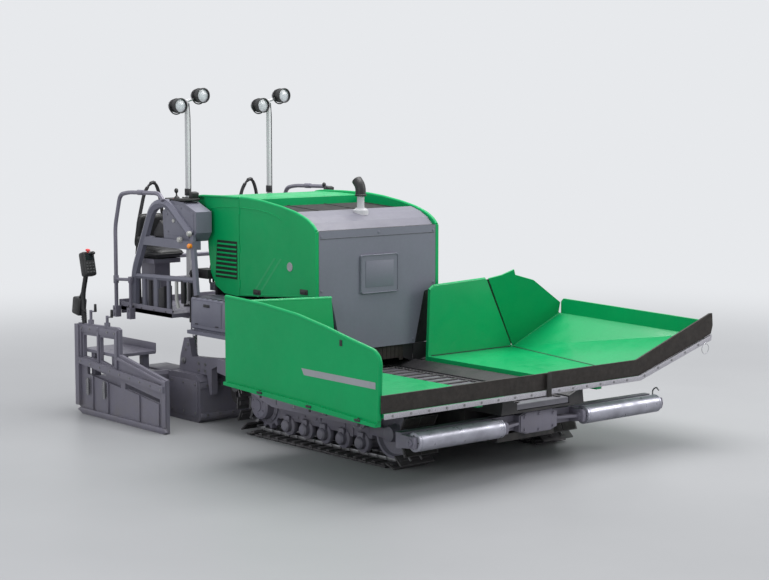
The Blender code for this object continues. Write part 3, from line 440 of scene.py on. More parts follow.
    def make(self, name, mat, body, angle=35, replaces=()):
        mesh = bpy.data.meshes.new(name)
        self.bm.to_mesh(mesh)
        self.bm.free()
        mesh.materials.append(M[mat])
        mesh.shade_smooth()
        mesh.set_sharp_from_angle(angle=math.radians(angle))
        obj = bpy.data.objects.new(name, mesh)
        bpy.context.scene.collection.objects.link(obj)
        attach(obj, body)
        if replaces:
            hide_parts(*replaces)
        return obj


def soften(points, radius, steps=6):
    out = [points[0]]
    for a, b, c in zip(points, points[1:], points[2:]):
        reach = min(radius, (a - b).length * 0.48, (c - b).length * 0.48)
        start, end = b + (a - b).normalized() * reach, b + (c - b).normalized() * reach
        for i in range(steps + 1):
            t = i / steps
            out.append((1 - t) ** 2 * start + 2 * t * (1 - t) * b + t * t * end)
    out.append(points[-1])
    return out


def span(side, a, b):
    return (a, b) if side > 0 else (-b, -a)


SIDES = (("left", 1), ("right", -1))
X, F, Z = Vector((1, 0, 0)), Vector((0, -1, 0)), Vector((0, 0, 1))

# rounded edges on the plates that are kept from the CAD model
for name in ("hood_front", "hood_top", "hood_rear_cover", "hood_door_left", "hood_door_right", "side_box_left", "side_box_right", "platform", "screed_body",
             "screed_extension_left", "screed_extension_right", "end_gate_left", "end_gate_right", "tow_arm_left", "tow_arm_right", "push_beam", "wing_floor_left",
             "wing_floor_right", "wing_panel_left", "wing_back_left", "wing_back_right", "wing_side_right", "chassis_frame", "bulkhead", "tunnel_cover"):
    bevel = NODES[name].modifiers.new("edges", "BEVEL")
    bevel.width = 0.004
    bevel.segments = 2
    bevel.limit_method = "ANGLE"
    bevel.angle_limit = math.radians(40)

# ------------------------------------------------------------------ tracks
TR, T0, T1 = 0.255, -0.50, 1.155
STRAIGHT, ARC = T1 - T0, math.pi * TR
LOOP = 2 * STRAIGHT + 2 * ARC
SHOES = 44
PITCH = LOOP / SHOES


def on_track(s, r):
    """(f, z, angle of travel) at a distance along the belt, at a radius from the wheels' centres."""
    s %= LOOP
    if s < STRAIGHT:
        return T0 + s, TR - r, 0.0
    s -= STRAIGHT
    if s < ARC:
        a = -math.pi / 2 + s / TR
        return T1 + r * math.cos(a), TR + r * math.sin(a), a + math.pi / 2
    s -= ARC
    if s < STRAIGHT:
        return T1 - s, TR + r, math.pi
    a = math.pi / 2 + (s - STRAIGHT) / TR
    return T0 + r * math.cos(a), TR + r * math.sin(a), a + math.pi / 2


def gear(teeth, outer, inner):
    pts = []
    for i in range(teeth):
        for part, r in ((-0.28, inner), (-0.14, outer), (0.14, outer), (0.28, inner)):
            a = 2 * math.pi * (i + part) / teeth
            pts.append((r * math.cos(a), r * math.sin(a)))
    return pts


for side_name, q in SIDES:
    shoes, pads, chain = Kit(), Kit(), Kit()
    for i in range(SHOES):
        f, z, a = on_track((i + 0.5) * PITCH, TR - 0.0155)
        turn = Matrix.Rotation(a, 3, "X")
        shoes.block(P(q * 0.75, f, z), (0.338, PITCH - 0.010, 0.013), 0.003, turn, 1)
        f2, z2, a2 = on_track((i + 0.5) * PITCH, TR - 0.026)
        shoes.block(P(q * 0.75, f2, z2), (0.30, PITCH * 0.35, 0.014), 0.004, turn, 1)
        for dx in (-0.125, 0, 0.125):
            f1, z1, a1 = on_track((i + 0.5) * PITCH, TR - 0.0065)
            if dx:
                pads.block(P(q * 0.75 + dx * 0.62, f1, z1), (0.150, PITCH - 0.034, 0.009), 0.003, turn, 1)
        for dx in (-0.155, 0.155):
            fb, zb, ab = on_track((i + 0.5) * PITCH, TR - 0.007)
            out = P(0, *on_track((i + 0.5) * PITCH, TR)[:2]) - P(0, *on_track((i + 0.5) * PITCH, TR - 0.1)[:2])
            shoes.bolt(P(q * 0.75 + dx, fb, zb), out, 0.007, 0.005, False)
        fl, zl, al = on_track((i + 0.5) * PITCH, TR - 0.048)
        turn_l = Matrix.Rotation(al, 3, "X")
        for dx in (-0.055, 0.055):
            chain.block(P(q * (0.75 + dx), fl, zl), (0.016, PITCH * 0.98, 0.030), 0.006, turn_l, 2)
        fp, zp, _ = on_track(i * PITCH, TR - 0.048)
        chain.rod(P(q * 0.680, fp, zp), P(q * 0.820, fp, zp), 0.0095, sides=12)
    shoes.make(f"track_shoes_{side_name}", "iron", "tractor", replaces=(f"track_{side_name}",))
    pads.make(f"track_pads_{side_name}", "rubber", "tractor")
    chain.make(f"track_chain_{side_name}", "bolt", "tractor")

    run = Kit()
    x0, x1 = span(q, 0.665, 0.835)
    run.box(x0, x1, -0.26, 0.92, 0.175, 0.355, 0.012)
    run.box(*span(q, 0.833, 0.842), -0.20, 0.60, 0.20, 0.335, 0.004)          # side cover
    run.box(*span(q, 0.842, 0.850), 0.05, 0.30, 0.225, 0.31, 0.004)           # grease cover
    run.box(*span(q, 0.655, 0.845), 0.66, 0.70, 0.165, 0.362, 0.005)
    run.box(*span(q, 0.5805, 0.70), 0.95, 1.07, 0.24, 0.34, 0.006)
    run.box(*span(q, 0.5805, 0.70), -0.20, -0.08, 0.24, 0.34, 0.006)
    run.box(*span(q, 0.715, 0.785), 0.90, 1.10, 0.215, 0.30, 0.01)             # tensioner yoke
    run.box(*span(q, 0.846, 0.862), 0.92, 1.20, 0.215, 0.295, 0.008)
    run.box(*span(q, 0.638, 0.654), 0.92, 1.20, 0.215, 0.295, 0.008)
    for f in (0.10, 0.25):
        for z in (0.24, 0.295):
            run.bolt(P(q * 0.85, f, z), X * q, 0.008, 0.006)
    for f in (-0.16, 0.0, 0.36, 0.56):
        for z in (0.215, 0.32):
            run.bolt(P(q * 0.842, f, z), X * q, 0.007, 0.006)
    run.make(f"track_beam_{side_name}", "steel_grey", "tractor", replaces=(f"track_frame_{side_name}",))

    wheels = Kit()
    # drive sprocket with its hub motor
    wheels.slab("x", [(T0 + a, TR + b) for a, b in gear(14, 0.205, 0.172)], *span(q, 0.722, 0.778), 0.003)
    wheels.spin([(0.0, 0.62), (0.115, 0.62), (0.135, 0.64), (0.135, 0.70), (0.150, 0.71), (0.150, 0.79), (0.122, 0.80), (0.116, 0.862), (0.098, 0.876), (0.05, 0.880), (0.046, 0.888), (0.0, 0.888)] if q > 0 else
                [(0.0, 0.62), (0.115, 0.62), (0.135, 0.64), (0.135, 0.70), (0.150, 0.71), (0.150, 0.79), (0.122, 0.80), (0.116, 0.862), (0.098, 0.876), (0.05, 0.880), (0.046, 0.888), (0.0, 0.888)],
                P(0, T0, TR), X * q, 40)
    for k in range(12):
        a = 2 * math.pi * k / 12
        wheels.bolt(P(q * 0.7905, T0 + 0.136 * math.cos(a), TR + 0.136 * math.sin(a)), X * q, 0.008, 0.008)
    for k in range(6):
        a = 2 * math.pi * (k + 0.5) / 6
        wheels.bolt(P(q * 0.877, T0 + 0.074 * math.cos(a), TR + 0.074 * math.sin(a)), X * q, 0.007, 0.006)
    # idler
    wheels.spin([(0.0, 0.640), (0.05, 0.640), (0.052, 0.69), (0.16, 0.70), (0.170, 0.665), (0.190, 0.665), (0.196, 0.70), (0.176, 0.715), (0.176, 0.785), (0.196, 0.80), (0.190, 0.835), (0.170, 0.835), (0.158, 0.805),
                 (0.075, 0.795), (0.062, 0.82), (0.058, 0.872), (0.030, 0.880), (0.0, 0.880)], P(0, T1, TR), X * q, 44)
    for k in range(5):
        a = 2 * math.pi * k / 5
        wheels.rod(P(q * 0.792, T1 + 0.115 * math.cos(a), TR + 0.115 * math.sin(a)), P(q * 0.800, T1 + 0.115 * math.cos(a), TR + 0.115 * math.sin(a)), 0.026, sides=20, bevel=0.002)
    for i in range(5):
        at = P(0, -0.13 + i * 0.235, 0.137)
        wheels.spin([(0.0, 0.618), (0.035, 0.620), (0.042, 0.655), (0.078, 0.660), (0.082, 0.668), (0.082, 0.690), (0.060, 0.698), (0.060, 0.802), (0.082, 0.810), (0.082, 0.832), (0.078, 0.842), (0.052, 0.848),
                     (0.048, 0.880), (0.036, 0.892), (0.016, 0.896), (0.0, 0.896)], at, X * q, 28)
        wheels.box(*span(q, 0.846, 0.868), -0.13 + i * 0.235 - 0.035, -0.13 + i * 0.235 + 0.035, 0.137, 0.22, 0.006)
        for k in range(4):
            a = math.pi / 4 + math.pi * k / 2
            wheels.bolt(at + X * q * 0.8805 + Vector((0, 0.034 * math.cos(a), 0.034 * math.sin(a))), X * q, 0.005, 0.005, False)
    wheels.spin([(0.0, 0.66), (0.045, 0.665), (0.05, 0.69), (0.040, 0.70), (0.040, 0.80), (0.05, 0.81), (0.045, 0.838), (0.02, 0.846), (0.0, 0.846)], P(0, 0.33, 0.395), X * q, 24)
    wheels.box(*span(q, 0.655, 0.668), 0.29, 0.37, 0.34, 0.42, 0.004)
    wheels.make(f"track_wheels_{side_name}", "steel_grey", "tractor", 30)

# ------------------------------------------------------------------ hopper
# conveyor slats and chains, lying on the bed
belt = Kit()
for i in range(21):
    f = -0.80 + i * 0.13
    belt.box(-0.185, 0.185, f - 0.010, f + 0.010, 0.5155, 0.5275, 0.003)
for q in (1, -1):
    for i in range(64):
        f = -0.83 + i * 0.0425
        belt.box(*span(q, 0.200, 0.207), f - 0.019, f + 0.019, 0.5155, 0.5275, 0.003, 1)
        belt.box(*span(q, 0.219, 0.226), f - 0.002, f + 0.036, 0.5155, 0.5275, 0.003, 1)
        belt.rod(P(q * 0.196, f + 0.018, 0.5215), P(q * 0.230, f + 0.018, 0.5215), 0.0045, sides=8)
belt.make("conveyor_chain", "iron", "tractor")
guards = Kit()
for q in (1, -1):
    guards.slab("f", [(q * 0.276, 0.526), (q * 0.2765, 0.5205), (q * 0.402, 0.5715), (q * 0.418, 0.5715), (q * 0.418, 0.5745), (q * 0.400, 0.5745)], -0.02, 1.90)
    for i in range(9):
        guards.bolt(P(q * 0.345, 0.10 + i * 0.215, 0.5495), Vector((-q * 0.36, 0, 0.93)), 0.008, 0.004)
guards.make("conveyor_guards", "dark", "tractor")

# dark skirts that close the hood's lower corners, and plates behind them
for side_name, q in SIDES:
    k = Kit()
    k.slab("f", [(q * 0.402, 0.712), (q * 0.560, 0.712), (q * 0.585, 0.800), (q * 0.618, 1.172), (q * 0.505, 1.146)], -0.050, -0.034, 0.002)
    k.slab("f", [(q * 0.402, 0.552), (q * 0.640, 0.600), (q * 0.640, 0.711), (q * 0.402, 0.711)], -0.0335, -0.0265, 0.001)
    for z in (0.78, 0.90, 1.02, 1.12):
        k.bolt(P(q * (0.46 + (z - 0.78) * 0.22), -0.034, z), F, 0.008, 0.006)
    k.make(f"hood_skirts_{side_name}", "dark", "tractor")

# dark opening under the hood, where the conveyor goes in
mouth = Kit()
mouth.box(-0.36, 0.36, -0.060, -0.0395, 0.672, 0.712, 0.004)
for i in range(13):
    x = -0.27 + i * 0.045
    mouth.box(x - 0.021, x + 0.021, -0.036, -0.031, 0.580 if abs(x) > 0.24 else 0.60, 0.714, 0.001, 1)
mouth.make("tunnel_curtain", "flap", "tractor")

for side_name, q in SIDES:
    body = f"wing_{side_name}"
    pins = Kit()
    for i in range(9):
        f = 0.20 + i * 0.205
        pins.rod(P(q * 0.43, f - 0.045, 0.565), P(q * 0.43, f + 0.045, 0.565), 0.0085, sides=14)
    pins.make(f"wing_knuckles_{side_name}", "iron", body)
    pins = Kit()
    for i in range(8):
        f = 0.3025 + i * 0.205
        pins.rod(P(q * 0.43, f - 0.045, 0.565), P(q * 0.43, f + 0.045, 0.565), 0.0085, sides=14)
    pins.make(f"frame_knuckles_{side_name}", "iron", "tractor")

# stiffeners under the floors and the laid-out panel
ribs = Kit()
for f in (0.40, 0.85, 1.30, 1.75):
    ribs.box(0.475, 0.94, f - 0.006, f + 0.006, 0.530, 0.573, 0.002)
    ribs.box(0.475, 0.94, f - 0.022, f + 0.022, 0.526, 0.532, 0.002)
    inner = 1.42 - 0.41 * (f - 0.10) / 1.855
    ribs.slab("f", [(inner + 0.03, 0.571), (1.787, 0.800), (1.787, 0.765), (inner + 0.06, 0.535)], f - 0.006, f + 0.006)
ribs.box(0.60, 0.66, 0.14, 1.90, 0.533, 0.5725, 0.003)
ribs.slab("x", [(0.40, 0.905), (1.94, 0.868), (1.94, 0.842), (0.40, 0.878)], 1.8121, 1.8175)
ribs.make("wing_ribs_left", "green_bin", "wing_left")
ribs = Kit()
for f in (0.40, 0.85, 1.30, 1.75):
    ribs.box(-1.50, -0.475, f - 0.006, f + 0.006, 0.530, 0.573, 0.002)
    ribs.box(-1.50, -0.475, f - 0.022, f + 0.022, 0.526, 0.532, 0.002)
ribs.box(-0.66, -0.60, 0.14, 1.90, 0.533, 0.5725, 0.003)
ribs.make("wing_ribs_right", "green_bin", "wing_right")

# painted shade: dark strips stand for the shade in the fold of the left wing, in its rear corner and at the foot of its
# back wall
shade_strips = Kit()


def fold(f):
    return 1.42 - 0.41 * (f - 0.10) / 1.855


shade_strips.slab("z", [(fold(0.15) - 0.010, 0.15), (fold(0.15) + 0.006, 0.15), (fold(1.94) + 0.006, 1.94), (fold(1.94) - 0.010, 1.94)], 0.6075, 0.6105)
shade_strips.slab("f", [(1.388, 0.625), (1.450, 0.625), (1.150, 1.212), (1.080, 1.205)], 0.086, 0.0985)
shade_strips.slab("f", [(0.47, 0.6095), (1.39, 0.6095), (1.386, 0.616), (0.47, 0.616)], 0.1305, 0.135)
shade_strips.make("wing_painted_shade_left", "dark", "wing_left")
weld = Kit()
weld.pipe([P(1.4300, 0.1214, 0.6000), P(1.7900, 0.3361, 0.8880)], 0.014, 12)
weld.ball(P(1.4215, 0.116, 0.604), 0.016)
weld.make("wing_corner_weld", "green_bin", "wing_left")
# painted shade: dark strips at the feet of the right wing's back wall and side plate stand for the shade in these
# corners
shade_strips = Kit()
shade_strips.slab("f", [(-1.60, 0.6095), (-0.46, 0.6095), (-0.46, 0.616), (-1.60, 0.616)], 0.1605, 0.165)
shade_strips.slab("x", [(0.165, 0.6095), (1.95, 0.6095), (1.95, 0.616), (0.165, 0.616)], -1.6065, -1.602)
shade_strips.make("wing_painted_shade_right", "dark", "wing_right")

# rolled bead on the upright plates, stripe, latch mark, clips of the bottom flange
TOP = [(0.129, 1.263), (0.608, 1.243), (1.02, 1.205), (1.364, 1.146), (1.613, 1.093), (1.90, 1.038), (1.945, 1.00), (1.960, 0.96), (1.946, 0.56)]
bead = Kit()
bead.pipe([P(-1.622, f - 0.002, z - 0.002) for f, z in TOP], 0.0172, 12, 0.04)
bead.pipe([P(-1.6435, 0.135, 0.592), P(-1.6435, 1.94, 0.5175)], 0.0075, 10)
bead.make("plate_bead_right", "green", "wing_right")
mark = Kit()
mark.slab("x", [(1.116, 0.778), (1.925, 0.774), (1.925, 0.822), (1.085, 0.826)], -1.6382, -1.6365, 0.0)
mark.make("plate_stripe", "stripe", "wing_right")
clips = Kit()
for f in (0.60, 1.20, 1.755):
    z = 0.600 - 0.075 * (f - 0.129) / 1.817
    clips.box(-1.668, -1.6375, f - 0.030, f + 0.030, z - 0.004, z + 0.014, 0.003)
    clips.rod(P(-1.652, f, z - 0.035), P(-1.652, f, z + 0.022), 0.008, sides=12)
clips.box(-1.6415, -1.6370, 1.530, 1.560, 1.035, 1.080, 0.002)
clips.rod(P(-1.6455, 1.545, 1.062), P(-1.6370, 1.545, 1.062), 0.008, sides=14)
clips.make("plate_clips", "dark", "wing_right")
wall = Kit()
wall.pipe([P(-0.62, 0.1455, 1.180), P(-1.60, 0.1455, 1.217)], 0.0155, 12)
wall.slab("f", [(-1.606, 0.66), (-1.606, 0.72), (-0.60, 0.72), (-0.56, 0.66)], 0.120, 0.1305, 0.002)
wall.make("wall_bead_right", "green_bin", "wing_right")
wall = Kit()
wall.pipe([P(0.50, 0.115, 1.196), P(1.090, 0.115, 1.219)], 0.0152, 12)
wall.pipe([P(0.457, 0.115, 1.165), P(0.50, 0.115, 1.196)], 0.0155, 12)
wall.slab("f", [(0.56, 0.66), (1.36, 0.66), (1.33, 0.72), (0.56, 0.72)], 0.088, 0.0995, 0.002)
for x in (0.62, 0.90, 1.08):
    wall.slab("x", [(0.0995, 0.64), (0.0995, 1.15), (0.092, 1.15), (0.060, 0.64)], x - 0.005, x + 0.005)
wall.make("wall_bead_left", "green_bin", "wing_left")

# rubber lips and their clamp strips
for side_name, q in SIDES:
    body = f"wing_{side_name}"
    bar, heads = Kit(), Kit()
    if q > 0:
        bar.slab("f", [(0.008, 0.573), (1.004, 0.573), (1.849, 0.817), (1.857, 0.862), (1.000, 0.612), (0.008, 0.612)], 1.9855, 1.9905, 0.0012)
        spots = [(0.10 + 0.15 * i, 0.5925) for i in range(6)] + [(1.05 + 0.16 * i, 0.608 + 0.046 * i) for i in range(5)]
        face_f = 1.9905
    else:
        bar.slab("f", [(-1.636, 0.573), (-0.008, 0.573), (-0.008, 0.612), (-1.636, 0.612)], 2.0125, 2.0175, 0.0012)
        spots = [(-1.56 + 0.168 * i, 0.5925) for i in range(10)]
        face_f = 2.0175
    for x, z in spots:
        heads.bolt(P(x, face_f, z), F * 1.0, 0.0065, 0.005)
    bar.make(f"lip_strip_{side_name}", "strip", body)
    heads.make(f"lip_bolts_{side_name}", "bolt", body)
flap = Kit()
flap.slab("f", [(-0.060, 0.560), (-0.012, 0.560), (-0.012, 0.742), (-0.060, 0.742)], 2.0180, 2.0235, 0.002)
flap.make("lip_overlap", "rubber", "wing_right")
loops = Kit()
ringc = P(1.775, 1.992, 0.755)
loops.pipe([ringc + Vector((0.042 * math.cos(t), 0, 0.042 * math.sin(t))) for t in (2 * math.pi * k / 28 for k in range(28))], 0.0035, 8, closed=True)
loops.rod(P(1.775, 1.988, 0.797), P(1.775, 1.998, 0.797), 0.010, sides=12)
loops.make("lip_ring", "chrome", "wing_left")

# ---------------------------------------------------- push beam and rollers
beam = Kit()
beam.slab("f", [(-0.19, 0.298), (-0.125, 0.278), (0.125, 0.278), (0.19, 0.298), (0.19, 0.412), (0.125, 0.434), (-0.125, 0.434), (-0.19, 0.412)], 1.8702, 1.880, 0.003)
for a, b in ((-0.15, 0.305), (0.15, 0.305), (-0.15, 0.405), (0.15, 0.405), (0, 0.295), (0, 0.415)):
    beam.bolt(P(a, 1.880, b), F, 0.011, 0.009)
for q in (1, -1):
    beam.slab("z", [(q * 0.20, 1.79), (q * 0.41, 1.815), (q * 0.41, 1.93), (q * 0.27, 1.89), (q * 0.20, 1.87)], 0.345, 0.367, 0.003)
    beam.slab("x", [(1.80, 0.30), (1.955, 0.315), (1.965, 0.356), (1.955, 0.397), (1.80, 0.412)], *span(q, 0.392, 0.4265), 0.004)
    beam.slab("x", [(1.80, 0.305), (1.950, 0.318), (1.960, 0.356), (1.950, 0.394), (1.80, 0.407)], *span(q, 1.2805, 1.312), 0.004)
    for x in (0.392, 1.312):
        beam.rod(P(q * x, 1.911, 0.356), P(q * (x + (0.014 if x > 1 else -0.014)), 1.911, 0.356), 0.030, sides=24, bevel=0.002)
        beam.bolt(P(q * (x + (0.014 if x > 1 else -0.014)), 1.911, 0.356), X * q * (1 if x > 1 else -1), 0.014, 0.010)
    beam.slab("x", [(1.62, 0.412), (1.80, 0.412), (1.80, 0.445), (1.70, 0.445)], *span(q, 0.235, 0.250))
    beam.box(*span(q, 0.45, 1.26), 1.800, 1.822, 0.318, 0.398, 0.004)
ringc = P(1.322, 1.86, 0.440)
beam.make("push_beam_fittings", "steel_grey", "push_beam")
ring = Kit()
ring.pipe([P(1.296, 1.86, 0.402), P(1.296, 1.86, 0.455), P(1.296, 1.90, 0.480), P(1.296, 1.925, 0.455)], 0.006, 10, 0.02)
ring.make("push_beam_hook", "bolt", "push_beam")
for side_name, q in SIDES:
    roller = Kit()
    roller.spin([(0.0, 0.4340), (0.060, 0.4340), (0.0700, 0.4385), (0.0700, 0.452), (0.0680, 0.453), (0.0680, 0.459), (0.0700, 0.460), (0.0700, 1.248), (0.0680, 1.249), (0.0680, 1.255), (0.0700, 1.256), (0.0700, 1.2695), (0.060, 1.2740), (0.0, 1.2740)],
                P(0, 1.911, 0.356), X * q, 48)
    roller.make(f"roller_tube_{side_name}", "bare", f"push_roller_{side_name}", replaces=(f"push_roller_{side_name}",))
    trim = Kit()
    for x, out in ((0.4342, -1), (1.2738, 1)):
        trim.spin([(0.0, 0.0), (0.036, 0.0), (0.036, 0.0045), (0.0, 0.0045)], P(q * x, 1.911, 0.356), X * q * out, 24)
        for k in range(4):
            a = math.pi * k / 2
            trim.bolt(P(q * x, 1.911 + 0.048 * math.cos(a), 0.356 + 0.048 * math.sin(a)), X * q * out, 0.005, 0.004, False)
    trim.make(f"roller_caps_{side_name}", "dark", f"push_roller_{side_name}")

# -------------------------------------------------------------------- hood
front = Kit()
front.pipe([P(x, 0.0135, z) for x, z in ((-0.196, 1.186), (-0.182, 1.174), (0.182, 1.174), (0.196, 1.186), (0.196, 1.474), (0.182, 1.486), (-0.182, 1.486), (-0.196, 1.474))], 0.0045, 8, closed=True)
front.slab("f", [(-0.150, 1.222), (0.150, 1.222), (0.150, 1.438), (-0.150, 1.438)], 0.0115, 0.0150, 0.0015)
for x, z in ((-0.60, 1.66), (0.60, 1.66), (-0.60, 1.22), (0.60, 1.22), (-0.375, 0.75), (0.375, 0.75), (0, 1.672)):
    front.rod(P(x, -0.001, z), P(x, 0.003, z), 0.012, sides=20, bevel=0.001)
front.make("hood_front_frame", "grey", "tractor")
# painted shadow: thin dark lines on the hood's front face and on its top just behind the front edge stand for the shade
# in the panel gaps
shadow_gap_lines = Kit()
shadow_gap_lines.pipe([P(x, 0.0005, z) for x, z in ((-0.610, 1.640), (0.610, 1.640))], 0.0022, 6)
shadow_gap_lines.box(-0.626, 0.626, -0.0315, -0.006, 1.7035, 1.7065, 0.001, 1)
shadow_gap_lines.make("hood_painted_shadow_gaps", "dark", "tractor")

# grille slats and their supports in the grille colour, partly painted shade for the hood's inside
slats = Kit()
for i in range(24):
    t = (i + 0.5) / 24
    f = -0.322 - t * 0.645
    slats.block(P(0, f, 1.812 + 0.035 * t), (1.20, 0.019, 0.004), 0.0015, Matrix.Rotation(math.radians(28), 3, "X"), 1)
for x in (-0.61, -0.2, 0.2, 0.61):
    slats.slab("x", [(-0.314, 1.8005), (-0.976, 1.8355), (-0.976, 1.855), (-0.314, 1.820)], x - 0.008, x + 0.008)
slats.make("grille_slats", "grille_and_shade", "tractor")

LATCH = [(-0.155, 1.205), (-0.80, 1.150)]
for side_name, q in SIDES:
    door = f"hood_door_{side_name}"
    k = Kit()
    for f, z in LATCH:
        k.box(*span(q, 0.6565, 0.6655), f - 0.052, f + 0.052, z - 0.022, z + 0.022, 0.004)
        k.box(*span(q, 0.6655, 0.6715), f - 0.030, f + 0.034, z - 0.010, z + 0.010, 0.003)
    k.make(f"door_latches_{side_name}", "black", door)
    k = Kit()
    for z in (1.20, 1.50, 1.82):
        k.rod(P(q * 0.66, -1.046, z - 0.035), P(q * 0.66, -1.046, z + 0.035), 0.0085, sides=14)
    k.make(f"door_hinges_{side_name}", "green", door)
    k = Kit()
    k.spin([(0, 0), (0.036, 0), (0.038, 0.002), (0.036, 0.0045), (0.030, 0.0050), (0.029, 0.0035), (0, 0.0035)], P(q * 0.6600, -0.341, 1.397), X * q, 32)
    k.make(f"door_badge_{side_name}", "stripe", door)
    # faint diagonal bands and the moulded shoulder line
    k = Kit()
    for shift in (0.0, 0.085):
        k.slab("x", [(-0.560 + shift, 1.455), (-0.535 + shift, 1.455), (-0.865 + shift, 1.112), (-0.890 + shift, 1.112)], *span(q, 0.6595, 0.6608))
    k.make(f"door_bands_{side_name}", "green_bin", door)
    k = Kit()
    k.pipe([P(q * 0.6600, f, z) for f, z in ((-1.035, 1.850), (-0.80, 1.845), (-0.62, 1.825), (-0.50, 1.798), (-0.44, 1.772))], 0.0042, 8, 0.05)
    k.pipe([P(q * 0.6600, f, z) for f, z in ((-0.03, 1.185), (-0.30, 1.163), (-1.035, 1.112))], 0.0040, 8)
    k.make(f"door_creases_{side_name}", "green", door)
    k = Kit()
    k.pipe([P(q * 0.6600, f, z) for f, z in ((-1.062, 1.850), (-1.30, 1.845), (-1.46, 1.828), (-1.50, 1.78))], 0.0042, 8, 0.04)
    k.make(f"cover_creases_{side_name}", "green", "tractor")
    # louvres on the fixed panel behind the door
    k = Kit()
    for i in range(8):
        z = 1.262 + i * 0.038
        f0, f1 = -1.395 + i * 0.004, -1.088
        k.block(P(q * 0.662, (f0 + f1) / 2, z), (0.011, f1 - f0, 0.016), 0.003, Matrix.Rotation(-q * math.radians(28), 3, "Y"), 1)
    k.make(f"cover_louvres_{side_name}", "green", "tractor")
    # painted shade: a near-black sheet under the louvres stands for the shade in their openings
    k = Kit()
    k.slab("x", [(-1.405, 1.235), (-1.080, 1.235), (-1.080, 1.558), (-1.375, 1.558)], *span(q, 0.6590, 0.6612))
    k.make(f"cover_louvre_painted_shade_{side_name}", "grille_and_shade", "tractor")
    k = Kit()
    k.pipe([P(q * 0.655, f, z) for f, z in ((-1.735, 1.86), (-1.70, 1.912), (-1.60, 1.924), (-1.30, 1.930), (-1.062, 1.929))], 0.012, 10, 0.03)
    k.make(f"cover_rim_{side_name}", "green", "tractor")
    k = Kit()
    k.pipe([P(q * 0.644, f, z) for f, z in ((-1.040, 1.928), (-0.90, 1.923), (-0.72, 1.908), (-0.47, 1.874), (-0.28, 1.838), (-0.13, 1.792), (-0.05, 1.746), (-0.012, 1.706))], 0.0162, 12, 0.04)
    k.make(f"door_rim_{side_name}", "green", door)

stack = Kit()
stack.spin([(0.034, -0.045), (0.066, -0.040), (0.064, 0.0), (0.050, 0.006), (0.048, 0.014), (0.031, 0.018), (0.0305, 0.128), (0.034, 0.130), (0.034, 0.142), (0.026, 0.142), (0.0255, 0.02)], P(0.0, -0.235, 1.842), Z, 32)
stack.make("exhaust_stack", "light", "tractor", replaces=("exhaust_pipe",))
cap = Kit()
cap.pipe([P(0.0, -0.235, 1.962), P(0.0, -0.235, 2.015), P(0.0, -0.247, 2.050), P(0.0, -0.285, 2.088)], 0.044, 24, 0.03)
cap.spin([(0.0, 0), (0.047, 0.002), (0.049, 0.012), (0.044, 0.018)], P(0.0, -0.235, 1.955), Z, 28)
cap.make("exhaust_cap", "black", "tractor")

# side boxes: doors, hinges, handles, tread strip
for side_name, q in SIDES:
    k = Kit()
    for f0, f1 in ((-1.40, -0.98), (-0.95, -0.53), (-0.50, -0.10)):
        k.box(*span(q, 0.8995, 0.9045), f0, f1, 0.845, 1.050, 0.004)
        k.box(*span(q, 0.62, 0.86), f0, f1, 1.0745, 1.0785, 0.002)
    k.make(f"side_box_doors_{side_name}", "grey", "tractor")
    k = Kit()
    for f in (-1.19, -0.74, -0.30):
        k.box(*span(q, 0.9045, 0.9105), f - 0.045, f + 0.045, 1.005, 1.030, 0.003)
        for df in (-0.15, 0.15):
            k.rod(P(q * 0.9065, f + df - 0.02, 0.852), P(q * 0.9065, f + df + 0.02, 0.852), 0.005, sides=12)
    for i in range(16):
        f = -1.36 + i * 0.082
        k.box(*span(q, 0.70, 0.90), f - 0.010, f + 0.010, 1.0785, 1.0805, 0.001, 1)
    k.make(f"side_box_fittings_{side_name}", "dark", "tractor")

# ------------------------------------------------- bulkhead, pumps, hoses
k = Kit()
for q in (1, -1):
    k.box(*span(q, 0.42, 0.62), -1.60, -1.502, 0.93, 1.06, 0.008)
    k.box(*span(q, 0.50, 0.60), -1.585, -1.502, 1.10, 1.17, 0.006)
    k.rod(P(q * 0.30, -1.54, 0.98), P(q * 0.42, -1.54, 0.98), 0.045, sides=24, bevel=0.004)
    for i in range(4):
        k.rod(P(q * (0.44 + 0.05 * i), -1.60, 1.03), P(q * (0.44 + 0.05 * i), -1.625, 1.03), 0.013, sides=6)
k.box(-0.24, 0.24, -1.56, -1.502, 0.92, 1.30, 0.01)
for i in range(6):
    k.box(-0.21, 0.21, -1.567, -1.558, 0.955 + i * 0.055, 0.985 + i * 0.055, 0.002, 1)
k.make("valve_blocks", "steel_grey", "tractor")
k = Kit()
for q in (1, -1):
    for i in range(4):
        x = 0.44 + 0.05 * i
        k.pipe([P(q * x, -1.622, 1.03), P(q * x, -1.68, 1.02), P(q * (x + 0.01), -1.70, 0.935 - 0.01 * i), P(q * (x + 0.035), -1.675, 0.85), P(q * (x + 0.02), -1.56, 0.83), P(q * x, -1.50, 0.86)], 0.011, 10, 0.05)
    for i in range(3):
        x = 0.50 + 0.035 * i
        k.pipe([P(q * x, -1.585, 1.14), P(q * x, -1.625, 1.16), P(q * (x - 0.01), -1.632, 1.30), P(q * (x - 0.03), -1.58, 1.42), P(q * (x - 0.05), -1.475, 1.46)], 0.009, 10, 0.05)
k.make("hydraulic_hoses", "hose", "tractor")

